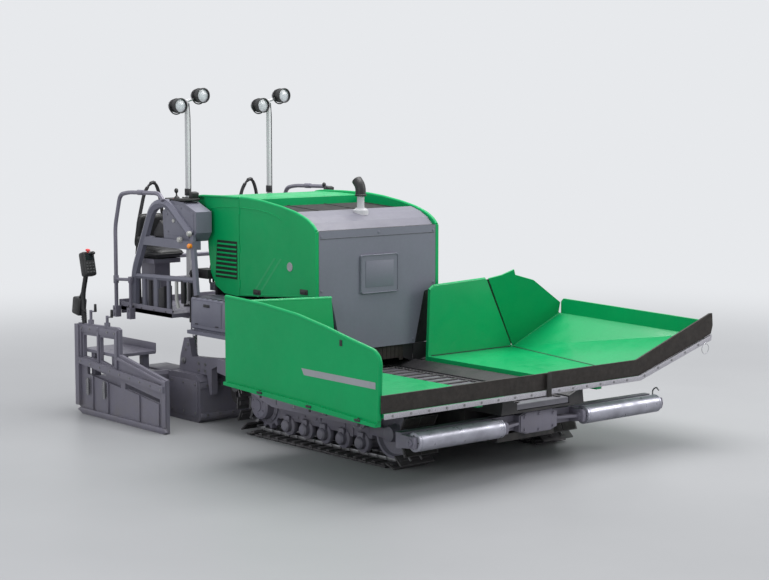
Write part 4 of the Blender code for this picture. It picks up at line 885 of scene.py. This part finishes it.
for side_name, q in SIDES:
    k = Kit()
    top, low = P(q * 0.735, -1.63, 1.25), P(q * 0.735, -1.62, 0.50)
    down = (low - top).normalized()
    for a, r in ((0.395, 0.0455), (0.045, 0.0445)):
        k.rod(top + down * a, top + down * (a + 0.03), r, sides=28, bevel=0.003)
    k.rod(top + down * 0.09 + F * 0.038, top + down * 0.09 + F * 0.058, 0.012, sides=12)
    k.pipe([top + down * 0.09 + F * 0.055, top + down * 0.13 + F * 0.062, top + down * 0.33 + F * 0.058, top + down * 0.37 + F * 0.040], 0.006, 10, 0.03)
    k.make(f"lift_barrel_glands_{side_name}", "black", f"lift_barrel_{side_name}")
    k = Kit()
    k.spin([(0, 0), (0.026, 0), (0.028, 0.003), (0.028, 0.010), (0.020, 0.014), (0, 0.014)], P(q * 0.8505, -1.62, 0.50), X * q, 20)
    k.make(f"lift_pin_cap_{side_name}", "bolt", "screed")

for side_name, q in SIDES:
    k = Kit()
    for x in (0.36, 0.61):
        k.box(*span(q, x - 0.015, x + 0.015), -1.7945, -1.5755, 0.696, 0.8645, 0.003)
    k.box(*span(q, 0.6655, 0.672), -1.76, -1.61, 0.73, 0.84, 0.004)
    k.make(f"tank_straps_{side_name}", "steel_grey", "tractor")
    k = Kit()
    for i in range(3):
        k.pipe([P(q * (0.40 + 0.06 * i), -1.575, 0.78), P(q * (0.40 + 0.06 * i), -1.545, 0.77), P(q * (0.39 + 0.05 * i), -1.540, 0.715), P(q * (0.36 + 0.05 * i), -1.56, 0.690), P(q * (0.33 + 0.05 * i), -1.62, 0.688)], 0.010, 10, 0.03)
    k.make(f"tank_hoses_{side_name}", "hose", "tractor")

# --------------------------------------------------------- operator's deck
k = Kit()
for i in range(22):
    for j in range(13):
        x = -0.84 + i * 0.08
        f = -2.545 + j * 0.075
        if abs(x) > 0.60 and f > -1.74:
            continue
        turn = Matrix.Rotation(math.radians(45 if (i + j) % 2 else -45), 3, "Z")
        k.block(P(x, f, 0.9008), (0.030, 0.007, 0.0022), 0.0008, turn, 1)
k.make("deck_tread", "steel_grey", "tractor")
k = Kit()
k.box(-0.895, 0.895, -2.602, -2.596, 0.862, 0.955, 0.002)
for q in (1, -1):
    k.box(*span(q, 0.894, 0.900), -2.56, -1.725, 0.862, 0.940, 0.002)
    k.box(*span(q, 0.60, 0.70), -2.455, -2.245, 0.905, 0.925, 0.004)
    for f in (-2.42, -2.28):
        k.bolt(P(q * 0.565, f, 0.9015), Z, 0.008, 0.007)
        k.bolt(P(q * 0.765, f, 0.9015), Z, 0.008, 0.007)
k.make("deck_kickplates", "steel_grey", "tractor")
k = Kit()
k.pipe([P(-0.55, -2.535, 1.12), P(0.55, -2.535, 1.12)], 0.012, 12)
for x in (-0.56, 0.56):
    k.rod(P(x, -2.535, 0.901), P(x, -2.535, 0.913), 0.034, sides=24, bevel=0.002)
    k.rod(P(x, -2.535, 1.100), P(x, -2.535, 1.140), 0.0235, sides=20, bevel=0.002)
k.make("rear_guard_fittings", "steel_grey", "tractor")


def cushion(name, centre, size, crown, turn, body, mat="seat", channels=()):
    """Crowned pad: rounded rectangle whose sides pull in between its corners, with sewn channels across it."""
    nx, ny = 40, 36
    w, d, h = size
    bm = bmesh.new()
    grid = {}
    for top in (1, -1):
        for i in range(nx + 1):
            for j in range(ny + 1):
                u, v = 2 * i / nx - 1, 2 * j / ny - 1
                uu, vv = math.copysign(abs(u) ** 0.85, u), math.copysign(abs(v) ** 0.85, v)
                # squircle corners
                r = max(abs(uu), abs(vv))
                p = 5.0
                norm = (abs(uu) ** p + abs(vv) ** p) ** (1 / p) if r else 1.0
                px, py = (uu * r / norm, vv * r / norm) if r else (0.0, 0.0)
                pull = 0.035
                x = px * (1 - pull * (1 - py * py) * abs(px))
                y = py * (1 - pull * (1 - px * px) * abs(py))
                e = max(0.0, 1 - r ** 6)
                z = top * (e ** 0.5)
                dome = crown * (1 - u * u) * (1 - v * v) * (1 if top > 0 else 0.15)
                height = z * h / 2 + top * dome
                for at, depth, along in channels:
                    c = (y if along == "x" else x) - at
                    height -= top * depth * math.exp(-(c / 0.035) ** 2) * (1 if top > 0 else 0) * e
                height += 0.0012 * math.sin(9 * x + 4 * y) * math.cos(7 * y - 3 * x) * e * top
                if r > 0.9999:
                    key = ("rim", i, j)
                    height = 0.0
                else:
                    key = (top, i, j)
                if key not in grid:
                    grid[key] = bm.verts.new((x * w / 2, y * d / 2, height))
                grid[(top, i, j)] = grid[key]
    for top in (1, -1):
        for i in range(nx):
            for j in range(ny):
                q4 = [grid[(top, i, j)], grid[(top, i + 1, j)], grid[(top, i + 1, j + 1)], grid[(top, i, j + 1)]]
                if top < 0:
                    q4.reverse()
                bm.faces.new(q4)
    bmesh.ops.recalc_face_normals(bm, faces=bm.faces)
    matrix = Matrix.Translation(centre) @ turn.to_4x4()
    bmesh.ops.transform(bm, matrix=matrix, verts=bm.verts)
    mesh = bpy.data.meshes.new(name)
    bm.to_mesh(mesh)
    bm.free()
    mesh.materials.append(M[mat])
    mesh.shade_smooth()
    obj = bpy.data.objects.new(name, mesh)
    bpy.context.scene.collection.objects.link(obj)
    sub = obj.modifiers.new("soft", "SUBSURF")
    sub.levels = sub.render_levels = 1
    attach(obj, body)
    return obj


def rim_line(size, turn, centre, inset=1.0):
    w, d = size
    pts = []
    for k in range(64):
        a = 2 * math.pi * k / 64
        c, s = math.cos(a), math.sin(a)
        p = 5.0
        n = (abs(c) ** p + abs(s) ** p) ** (-1 / p)
        x, y = c * n, s * n
        x2 = x * (1 - 0.035 * (1 - y * y) * abs(x))
        y2 = y * (1 - 0.035 * (1 - x * x) * abs(y))
        pts.append(centre + turn @ Vector((x2 * w / 2 * inset, y2 * d / 2 * inset, 0)))
    return pts


for side_name, q in SIDES:
    flat = Matrix.Identity(3)
    seat_c = P(q * 0.649, -2.295, 1.388)
    seat = cushion(f"seat_cushion_{side_name}", seat_c, (0.318, 0.395, 0.075), 0.010, flat, "tractor",
                   channels=((-0.45, 0.008, "x"), (0.0, 0.008, "x"), (0.45, 0.008, "x")))
    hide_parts(f"seat_{side_name}")
    lean = Matrix.Rotation(math.radians(-76), 3, "X") @ Matrix.Rotation(math.pi, 3, "Z")
    back_c = P(q * 0.65, -2.468, 1.575)
    back = cushion(f"seat_back_{side_name}", back_c, (0.286, 0.325, 0.070), 0.008, lean, "tractor",
                   channels=((-0.35, 0.007, "x"), (0.1, 0.007, "x"), (0.5, 0.007, "x")))
    k = Kit()
    k.pipe(rim_line((0.318, 0.395), flat, seat_c), 0.0042, 8, closed=True)
    k.pipe(rim_line((0.286, 0.325), lean, back_c), 0.0042, 8, closed=True)
    k.make(f"seat_piping_{side_name}", "piping", "tractor")
    k = Kit()
    for i in range(5):
        k.box(*span(q, 0.545 + 0.004 * (i % 2), 0.755 - 0.004 * (i % 2)), -2.42, -2.18, 1.3395 + i * 0.0035, 1.3395 + (i + 1) * 0.0035, 0.0015, 1)
    k.box(*span(q, 0.53, 0.77), -2.45, -2.15, 1.348, 1.362, 0.004)
    k.slab("x", [(-2.47, 1.36), (-2.43, 1.36), (-2.475, 1.56), (-2.515, 1.62), (-2.535, 1.60)], *span(q, 0.60, 0.70), 0.004)
    for x in (0.505, 0.793):
        k.box(*span(q, x - 0.020, x + 0.020), -2.42, -2.16, 1.505, 1.530, 0.010)
        k.pipe([P(q * x, -2.40, 1.51), P(q * x, -2.45, 1.44), P(q * x, -2.46, 1.37)], 0.010, 10, 0.03)
    k.make(f"seat_frame_{side_name}", "black", "tractor")

    # console: tilted panel with display, joystick, knobs and a round lamp
    k = Kit()
    k.block(P(q * 0.78, -1.69, 1.892), (0.150, 0.260, 0.022), 0.006, Matrix.Rotation(math.radians(-2), 3, "X"))
    k.block(P(q * 0.78, -1.845, 1.868), (0.150, 0.110, 0.020), 0.006, Matrix.Rotation(math.radians(32), 3, "X"))
    k.block(P(q * 0.745, -1.60, 1.925), (0.075, 0.050, 0.075), 0.010, Matrix.Rotation(math.radians(12), 3, "X"))
    k.pipe([P(q * 0.815, -1.76, 1.895), P(q * 0.815, -1.765, 1.955)], 0.007, 12)
    k.ball(P(q * 0.815, -1.766, 1.968), 0.018, (1, 1, 1.25), 20)
    k.spin([(0.026, 0), (0.024, 0.010), (0.014, 0.020), (0.009, 0.026), (0, 0.026)], P(q * 0.815, -1.76, 1.900), Z, 24)
    for i in range(4):
        k.rod(P(q * 0.745, -1.67 - i * 0.032, 1.902), P(q * 0.745, -1.67 - i * 0.032, 1.912), 0.0085, sides=16, bevel=0.001)
    k.box(*span(q, 0.700, 0.7035), -1.88, -1.44, 1.585, 1.80, 0.002)
    k.make(f"console_panel_{side_name}", "black", "tractor")
    k = Kit()
    k.block(P(q * 0.745, -1.6265, 1.930), (0.060, 0.003, 0.052), 0.001, Matrix.Rotation(math.radians(12), 3, "X"))
    k.make(f"console_display_{side_name}", "screen", "tractor")
    k = Kit()
    k.rod(P(q * 0.775, -1.855, 1.876), P(q * 0.775, -1.866, 1.894), 0.014, sides=20, bevel=0.003)
    k.make(f"console_stop_{side_name}", "red", "tractor")
    k = Kit()
    k.slab("x", [(-1.86, 1.585), (-1.48, 1.585), (-1.435, 1.64), (-1.435, 1.785), (-1.61, 1.845), (-1.77, 1.852), (-1.875, 1.76)], *span(q, 0.8598, 0.8630), 0.002)
    for f, z in ((-1.83, 1.61), (-1.50, 1.61), (-1.46, 1.77), (-1.84, 1.76), (-1.62, 1.825)):
        k.bolt(P(q * 0.863, f, z), X * q, 0.006, 0.004)
    k.make(f"console_cover_{side_name}", "grey", "tractor")
    k = Kit()
    for f, z, r in ((-1.60, 1.555, 0.026), (-1.452, 1.615, 0.024)):
        k.spin([(0, 0), (r, 0), (r, 0.018), (r * 0.8, 0.030), (r * 0.4, 0.034), (0, 0.034)], P(q * 0.885, f, z), X * q, 24)
    k.spin([(0, 0), (0.018, 0), (0.016, 0.008), (0, 0.010)], P(q * 0.863, -1.74, 1.71), X * q, 20)
    k.make(f"console_lamps_{side_name}", "white", "tractor")
    k = Kit()
    k.spin([(0, 0), (0.020, 0), (0.022, 0.004), (0.021, 0.026), (0.014, 0.034), (0, 0.036)], P(q * 0.885, -1.445, 1.510), X * q, 24)
    k.make(f"console_beacon_{side_name}", "orange", "tractor")
    k = Kit()
    k.slab("x", [(-2.10, 1.555), (-1.925, 1.555), (-1.905, 1.64), (-1.99, 1.70), (-2.08, 1.60)], *span(q, 0.79, 0.845), 0.004)
    k.slab("x", [(-1.96, 0.9105), (-1.87, 0.9105), (-1.87, 1.13), (-1.96, 1.10)], *span(q, 0.80, 0.89), 0.006)
    k.rod(P(q * 0.862, -2.12, 0.902), P(q * 0.862, -2.12, 1.16), 0.017, sides=18)
    k.rod(P(q * 0.862, -1.50, 1.03), P(q * 0.862, -1.50, 1.20), 0.018, sides=18, bevel=0.003)
    k.rod(P(q * 0.862, -1.60, 1.00), P(q * 0.862, -1.60, 1.20), 0.024, sides=18, bevel=0.004)
    for f in (-2.22, -2.02, -1.83):
        k.rod(P(q * 0.862, f, 0.9015), P(q * 0.862, f, 0.915), 0.040, sides=24, bevel=0.002)
    k.rod(P(q * 0.86, -2.385, 0.9035), P(q * 0.86, -2.385, 0.918), 0.062, sides=28, bevel=0.002)
    k.make(f"console_supports_{side_name}", "dark", "tractor")
    k = Kit()
    k.pipe([P(q * 0.862, -1.71, 1.20), P(q * 0.862, -1.71, 1.02), P(q * 0.850, -1.70, 0.95)], 0.016, 12, 0.02)
    k.pipe([P(q * 0.80, -1.66, 1.19), P(q * 0.80, -1.655, 1.02)], 0.010, 12)
    k.make(f"console_bottles_{side_name}", "white", "tractor")

    k = Kit()
    for x in (0.40, 0.69):
        k.rod(P(q * x, -2.577, 0.904), P(q * x, -2.577, 0.918), 0.026, sides=24, bevel=0.002)
        k.rod(P(q * x, -2.592, 1.40), P(q * x, -2.596, 1.47), 0.0215, sides=20, bevel=0.002)
    k.make(f"hoop_collars_{side_name}", "dark", "tractor")
    k = Kit()
    k.rod(P(q * 0.93, -2.59, 1.105), P(q * 0.93, -2.59, 1.175), 0.0245, sides=20, bevel=0.002)
    k.rod(P(q * 0.93, -2.35, 1.125), P(q * 0.93, -2.35, 1.180), 0.0205, sides=20, bevel=0.002)
    k.rod(P(q * 0.93, -2.20, 1.940), P(q * 0.93, -2.12, 1.941), 0.0235, sides=20, bevel=0.002)
    for f in (-2.587, -2.35):
        for z in (0.825, 0.875):
            k.bolt(P(q * 0.9555, f, z), X * q, 0.007, 0.006)
    k.make(f"rail_collars_{side_name}", "steel_grey", "tractor")

    # work lamps on the mast
    k, glass, trim = Kit(), Kit(), Kit()
    for dx, z in ((-0.12, 2.70), (0.12, 2.79)):
        at = P(q * 0.451 + dx, -2.19, z)
        k.spin([(0.0, -0.006), (0.030, 0.0), (0.050, 0.020), (0.060, 0.060), (0.066, 0.125), (0.068, 0.150), (0.061, 0.152), (0.057, 0.125)], at, F, 28)
        for i in range(5):
            k.spin([(0.045 + i * 0.003, 0.018 + i * 0.014), (0.054 + i * 0.003, 0.020 + i * 0.014), (0.054 + i * 0.003, 0.024 + i * 0.014), (0.045 + i * 0.003, 0.026 + i * 0.014)], at, F, 24)
        glass.spin([(0.0, 0.140), (0.035, 0.138), (0.0595, 0.132)], at, F, 28)
        trim.pipe([at + F * 0.07 + Vector((0.072 * math.cos(a), 0, 0.072 * math.sin(a) - 0.004)) for a in (math.pi + math.pi * j / 14 for j in range(15))], 0.006, 8)
    k.make(f"lamp_housings_{side_name}", "black", "tractor")
    glass.make(f"lamp_lenses_{side_name}", "lamp", "tractor")
    trim.rod(P(q * 0.451, -2.13, 0.901), P(q * 0.451, -2.13, 0.916), 0.050, sides=28, bevel=0.002)
    trim.rod(P(q * 0.451, -2.13, 1.90), P(q * 0.451, -2.13, 1.96), 0.0290, sides=24, bevel=0.002)
    for i in range(4):
        a = math.pi / 4 + math.pi * i / 2
        trim.bolt(P(q * 0.451 + 0.038 * math.cos(a), -2.13 + 0.038 * math.sin(a), 0.916), Z, 0.006, 0.006)
    trim.pipe([P(q * 0.451 + 0.022, -2.115, 0.92), P(q * 0.451 + 0.022, -2.115, 2.60), P(q * 0.451 + 0.010, -2.112, 2.72)], 0.004, 8, 0.03)
    trim.make(f"mast_fittings_{side_name}", "dark", "tractor")

# ------------------------------------------------------------------- screed
k, heads = Kit(), Kit()
for x in (-0.62, -0.22, 0.22, 0.62):
    k.box(x - 0.15, x + 0.15, -1.70, -1.36, 0.409, 0.432, 0.005)
    k.box(x - 0.035, x + 0.035, -1.50, -1.42, 0.432, 0.452, 0.006)
    for dx in (-0.13, 0.13):
        for f in (-1.68, -1.38):
            heads.bolt(P(x + dx, f, 0.432), Z, 0.007, 0.006)
k.box(-0.915, 0.915, -1.2805, -1.268, 0.045, 0.085, 0.003)
k.box(-0.915, 0.915, -1.2805, -1.270, 0.300, 0.345, 0.003)
for i in range(14):
    heads.bolt(P(-0.85 + i * 0.1308, -1.268, 0.065), F, 0.008, 0.006)
    heads.bolt(P(-0.85 + i * 0.1308, -1.270, 0.322), F, 0.008, 0.006)
for q in (1, -1):
    k.box(*span(q, 0.9195, 0.930), -1.73, -1.31, 0.05, 0.36, 0.004)
    for f in (-1.70, -1.52, -1.34):
        for z in (0.08, 0.33):
            heads.bolt(P(q * 0.930, f, z), X * q, 0.008, 0.006)
    k.rod(P(q * 0.42, -1.735, 0.395), P(q * 0.42, -1.735, 0.440), 0.014, sides=16)
    k.rod(P(q * 0.42, -1.735, 0.425), P(q * 0.42, -1.735, 0.437), 0.030, sides=24, bevel=0.003)
k.make("screed_covers", "steel_grey", "screed")
heads.make("screed_bolts", "bolt", "screed")

for side_name, q in SIDES:
    ext = f"extension_{side_name}"
    k, heads, black = Kit(), Kit(), Kit()
    for x in (0.76, 1.08):
        k.box(*span(q, x - 0.13, x + 0.13), -2.24, -1.86, 0.335 if False else 0.372, 0.392, 0.004)
    k.box(*span(q, 0.58, 1.37), -2.3695, -2.3595, 0.04, 0.08, 0.003)
    k.box(*span(q, 0.58, 1.37), -2.3695, -2.3595, 0.225, 0.262, 0.003)
    for i in range(7):
        heads.bolt(P(q * (0.63 + i * 0.115), -2.3695, 0.060), -F, 0.008, 0.006)
        heads.bolt(P(q * (0.63 + i * 0.115), -2.3695, 0.243), -F, 0.008, 0.006)
    for i in range(5):
        for j in range(7):
            x, f = 1.03 + i * 0.078, -2.38 + j * 0.08
            k.block(P(q * x, f, 0.5755), (0.026, 0.007, 0.002), 0.0008, Matrix.Rotation(math.radians(45 if (i + j) % 2 else -45), 3, "Z"), 1)
    k.box(*span(q, 0.983, 0.990), -2.42, -1.86, 0.560, 0.640, 0.002)
    k.make(f"extension_covers_{side_name}", "steel_grey", ext)
    # end gate: skid shoe, ribs, spindles, bolts
    k = Kit()
    k.slab("x", [(-2.44, 0.030), (-2.36, 0.001), (-1.05, 0.001), (-1.02, 0.020), (-1.04, 0.048), (-2.40, 0.052)], *span(q, 1.4155, 1.4400), 0.004)
    k.box(*span(q, 1.4150, 1.4250), -2.40, -1.79, 0.725, 0.790, 0.003)
    for f in (-2.39, -2.10, -1.80):
        k.box(*span(q, 1.4150, 1.4310), f - 0.012, f + 0.012, 0.46, 0.79, 0.003)
    for f, t in ((-2.20, 0.395), (-1.95, 0.37), (-1.45, 0.32), (-1.15, 0.285)):
        k.box(*span(q, 1.4150, 1.4300), f - 0.010, f + 0.010, 0.055, t - 0.04, 0.003)
    k.slab("x", [(-1.80, 0.565), (-1.06, 0.432), (-1.06, 0.410), (-1.80, 0.540)], *span(q, 1.4150, 1.4310), 0.003)
    k.slab("x", [(-1.095, 0.05), (-1.045, 0.05), (-1.045, 0.44), (-1.095, 0.45)], *span(q, 1.4150, 1.4290), 0.003)
    for f, top in ((-2.25, 0.925), (-1.98, 0.90)):
        k.rod(P(q * 1.40, f, 0.79), P(q * 1.40, f, top), 0.013, sides=16)
        k.rod(P(q * 1.40, f, 0.80), P(q * 1.40, f, 0.84), 0.026, sides=6)
        k.rod(P(q * 1.40, f, top - 0.012), P(q * 1.40, f + 0.075, top - 0.004), 0.007, sides=10)
    k.make(f"gate_fittings_{side_name}", "steel_grey", ext)
    for f, z in ((-2.37, 0.76), (-2.24, 0.76), (-2.10, 0.76), (-1.95, 0.76), (-1.83, 0.76)):
        heads.bolt(P(q * 1.4250, f, z), X * q, 0.008, 0.006)
    for i in range(9):
        t = i / 8
        heads.bolt(P(q * 1.4505, -2.36 + 1.28 * t, 0.470 - 0.098 * t), X * q, 0.007, 0.005)
    for f in (-2.25, -1.98):
        heads.rod(P(q * 1.442, f, 0.18), P(q * 1.442, f, 0.33), 0.012, sides=14)
        for j in range(7):
            heads.rod(P(q * 1.442, f, 0.195 + j * 0.018), P(q * 1.442, f, 0.203 + j * 0.018), 0.020, sides=18)
    heads.make(f"extension_bolts_{side_name}", "bolt", ext)
    for f, top in ((-2.25, 0.925), (-1.98, 0.90)):
        black.rod(P(q * 1.40, f + 0.075, top - 0.010), P(q * 1.40, f + 0.075, top + 0.060), 0.013, 0.011, sides=18, bevel=0.003)
    # hand console: keypad with display, stalk sleeve, grip
    black.block(P(q * 1.40, -2.290, 1.325), (0.118, 0.085, 0.215), 0.020, Matrix.Rotation(math.radians(-14), 3, "X"), 3)
    black.pipe([P(q * 1.40, -2.36, 0.797), P(q * 1.40, -2.38, 1.05), P(q * 1.40, -2.315, 1.25), P(q * 1.40, -2.292, 1.32)], 0.0215, 16, 0.06)
    for i in range(6):
        black.spin([(0.023, 0), (0.028, 0.004), (0.023, 0.008)], P(q * 1.40, -2.366 - 0.001 * i, 0.83 + i * 0.016), Z, 20)
    black.block(P(q * 1.40, -2.445, 0.945), (0.085, 0.120, 0.155), 0.018, Matrix.Rotation(math.radians(10), 3, "X"), 3)
    black.pipe([P(q * 1.40, -2.435, 1.010), P(q * 1.40, -2.405, 1.050), P(q * 1.40, -2.385, 1.075)], 0.012, 12, 0.02)
    black.ball(P(q * 1.372, -2.245, 1.425), 0.020, (1, 1, 0.8), 18)
    black.rod(P(q * 1.372, -2.250, 1.40), P(q * 1.372, -2.245, 1.43), 0.008, sides=12)
    black.make(f"hand_console_{side_name}", "black", ext, replaces=(f"screed_console_{side_name}",))
    keys = Kit()
    turn = Matrix.Rotation(math.radians(-14), 3, "X")
    for i in range(3):
        for j in range(4):
            keys.block(P(q * 1.40, -2.290, 1.325) + turn @ Vector((-0.030 + i * 0.030, -0.0435, -0.075 + j * 0.026)), (0.020, 0.005, 0.016), 0.002, turn, 1)
            keys.block(P(q * 1.40, -2.290, 1.325) + turn @ Vector((-0.030 + i * 0.030, 0.0435, -0.075 + j * 0.026)), (0.020, 0.005, 0.016), 0.002, turn, 1)
    keys.make(f"hand_console_keys_{side_name}", "piping", ext)
    keys = Kit()
    keys.block(P(q * 1.40, -2.290, 1.325) + turn @ Vector((0, 0.0435, 0.060)), (0.086, 0.004, 0.060), 0.002, turn, 1)
    keys.block(P(q * 1.40, -2.290, 1.325) + turn @ Vector((0, -0.0435, 0.060)), (0.086, 0.004, 0.060), 0.002, turn, 1)
    keys.make(f"hand_console_display_{side_name}", "screen", ext)
    keys = Kit()
    keys.spin([(0.010, 0), (0.010, 0.012), (0.020, 0.014), (0.021, 0.022), (0.016, 0.027), (0, 0.028)], P(q * 1.415, -2.262, 1.432), Vector((0, -0.25, 1)), 24)
    keys.make(f"hand_console_stop_{side_name}", "red", ext)
    # tow arm: point housing, bolts, height scale plate
    k, heads = Kit(), Kit()
    k.spin([(0, 0), (0.085, 0), (0.090, 0.005), (0.090, 0.014), (0.060, 0.020), (0.052, 0.032), (0, 0.034)], P(q * 0.9855, 0.95, 0.36), X * q, 32)
    k.box(*span(q, 0.9845, 0.9925), 0.10, 0.55, 0.325, 0.395, 0.003)
    k.slab("x", [(-0.10, 0.325), (-0.10, 0.400), (-0.72, 0.565), (-0.72, 0.530)], *span(q, 0.9845, 0.9905), 0.002)
    for i in range(6):
        a = 2 * math.pi * i / 6
        heads.bolt(P(q * 1.0, 0.95 + 0.074 * math.cos(a), 0.36 + 0.074 * math.sin(a)), X * q, 0.008, 0.007)
    for f in (0.14, 0.51):
        for z in (0.343, 0.377):
            heads.bolt(P(q * 0.9925, f, z), X * q, 0.007, 0.005)
    for f, z in ((-1.30, 0.50), (-1.40, 0.50), (-1.30, 0.44), (-1.40, 0.44), (-1.56, 0.65), (-1.60, 0.60)):
        heads.bolt(P(q * 0.8505, f, z), X * q, 0.010, 0.008)
    k.slab("x", [(-1.235, 0.26), (-1.235, 0.46), (-1.28, 0.46), (-1.28, 0.40), (-1.245, 0.26)], *span(q, 0.77, 0.7905))
    k.make(f"tow_arm_fittings_{side_name}", "steel_grey", "screed")
    heads.make(f"tow_arm_bolts_{side_name}", "bolt", "screed")
    # auger: end bearing and shaft collars, riding on the screw
    k = Kit()
    k.spin([(0, 0.735), (0.050, 0.735), (0.055, 0.742), (0.050, 0.7475), (0, 0.7475)], P(0, -1.02, 0.34), X * q, 24)
    for x in (0.24, 0.46, 0.68):
        k.spin([(0.0405, x - 0.012), (0.047, x - 0.010), (0.047, x + 0.010), (0.0405, x + 0.012)], P(0, -1.02, 0.34), X * q, 24)
    k.make(f"auger_collars_{side_name}", "bolt", f"auger_{side_name}")
k = Kit()
k.spin([(0, -0.052), (0.092, -0.050), (0.096, -0.040), (0.096, 0.040), (0.092, 0.050), (0, 0.052)], P(0, -1.02, 0.34), X, 32)
for i in range(8):
    a = 2 * math.pi * i / 8
    k.bolt(P(0.0505, -1.02 + 0.078 * math.cos(a), 0.34 + 0.078 * math.sin(a)), X, 0.006, 0.005, False)
    k.bolt(P(-0.0505, -1.02 + 0.078 * math.cos(a), 0.34 + 0.078 * math.sin(a)), -X, 0.006, 0.005, False)
k.make("auger_gearcase", "iron", "tractor")

# engine: ribs and hoses seen through the doors' openings
k = Kit()
for i in range(9):
    k.box(-0.352, 0.352, -1.12 + i * 0.08 - 0.008, -1.12 + i * 0.08 + 0.008, 0.80, 1.25, 0.004, 1)
k.box(-0.25, 0.25, -1.10, -0.48, 1.338, 1.40, 0.015)
for i in range(4):
    k.rod(P(-0.12, -1.02 + i * 0.15, 1.395), P(-0.12, -1.02 + i * 0.15, 1.43), 0.030, sides=20, bevel=0.004)
k.rod(P(0.42, -0.62, 1.02), P(0.42, -0.62, 1.25), 0.055, sides=28, bevel=0.006)
k.rod(P(-0.42, -0.95, 1.02), P(-0.42, -0.95, 1.25), 0.055, sides=28, bevel=0.006)
k.make("engine_details", "iron", "tractor")
k = Kit()
k.pipe([P(0.42, -0.62, 1.24), P(0.42, -0.62, 1.42), P(0.20, -0.55, 1.46), P(0.10, -0.45, 1.36)], 0.028, 14, 0.08)
k.pipe([P(-0.42, -0.95, 1.24), P(-0.42, -0.95, 1.45), P(-0.15, -1.0, 1.48), P(-0.10, -1.0, 1.39)], 0.024, 14, 0.08)
k.make("engine_pipes", "hose", "tractor")


# ------------------------------------------------------------- floor, light
SKY = (0.80, 0.815, 0.84)
floor = bpy.data.objects.new("floor", bpy.data.meshes.new("floor"))
bm = bmesh.new()
bmesh.ops.create_circle(bm, cap_ends=True, segments=96, radius=70)
bm.to_mesh(floor.data)
bm.free()
bpy.context.scene.collection.objects.link(floor)
fm = Mat("floor_pale", 0.42, 0.0, spec=0.25)
fm.done(fm.ramp(fm.noise(0.6, 3), [(0.3, (0.30, 0.305, 0.315)), (0.7, (0.32, 0.325, 0.335))]))
# the floor fades into the backdrop with distance from the machine
split = fm.n.new("ShaderNodeVectorMath")
split.operation = "LENGTH"
fm.link(fm.coord.outputs["Object"], split.inputs[0])
fade = fm.n.new("ShaderNodeMapRange")
fade.interpolation_type = "SMOOTHERSTEP"
fade.inputs["From Min"].default_value = 2.2
fade.inputs["From Max"].default_value = 13.0
fm.link(split.outputs["Value"], fade.inputs["Value"])
glow = fm.n.new("ShaderNodeEmission")
glow.inputs["Color"].default_value = (*SKY, 1)
glow.inputs["Strength"].default_value = 1.0
join = fm.n.new("ShaderNodeMixShader")
fm.link(fade.outputs["Result"], join.inputs["Fac"])
fm.link(fm.bsdf.outputs["BSDF"], join.inputs[1])
fm.link(glow.outputs["Emission"], join.inputs[2])
fm.link(join.outputs["Shader"], fm.n["Material Output"].inputs["Surface"])
floor.data.materials.append(fm.mat)

world = bpy.data.worlds.new("studio")
bpy.context.scene.world = world
world.use_nodes = True
world.node_tree.nodes["Background"].inputs["Color"].default_value = (*SKY, 1)
world.node_tree.nodes["Background"].inputs["Strength"].default_value = 1.0


def area(name, at, toward, size, power, colour=(1, 1, 1)):
    light = bpy.data.lights.new(name, "AREA")
    light.shape = "RECTANGLE"
    light.size, light.size_y = size
    light.energy = power
    light.color = colour
    obj = bpy.data.objects.new(name, light)
    bpy.context.scene.collection.objects.link(obj)
    obj.location = at
    obj.rotation_euler = (Vector(toward) - Vector(at)).to_track_quat("-Z", "Y").to_euler()
    return obj


area("top", (0.8, 0.2, 7.0), (0, 0, 0.4), (5, 6), 620, (1, 0.99, 0.98))
area("key", (6.5, -6.0, 5.0), (0, 0, 0.6), (3, 3), 260, (1, 0.99, 0.97))
area("fill", (-8.0, -3.0, 3.0), (0, 0, 0.9), (4, 3), 90, (0.96, 0.98, 1))
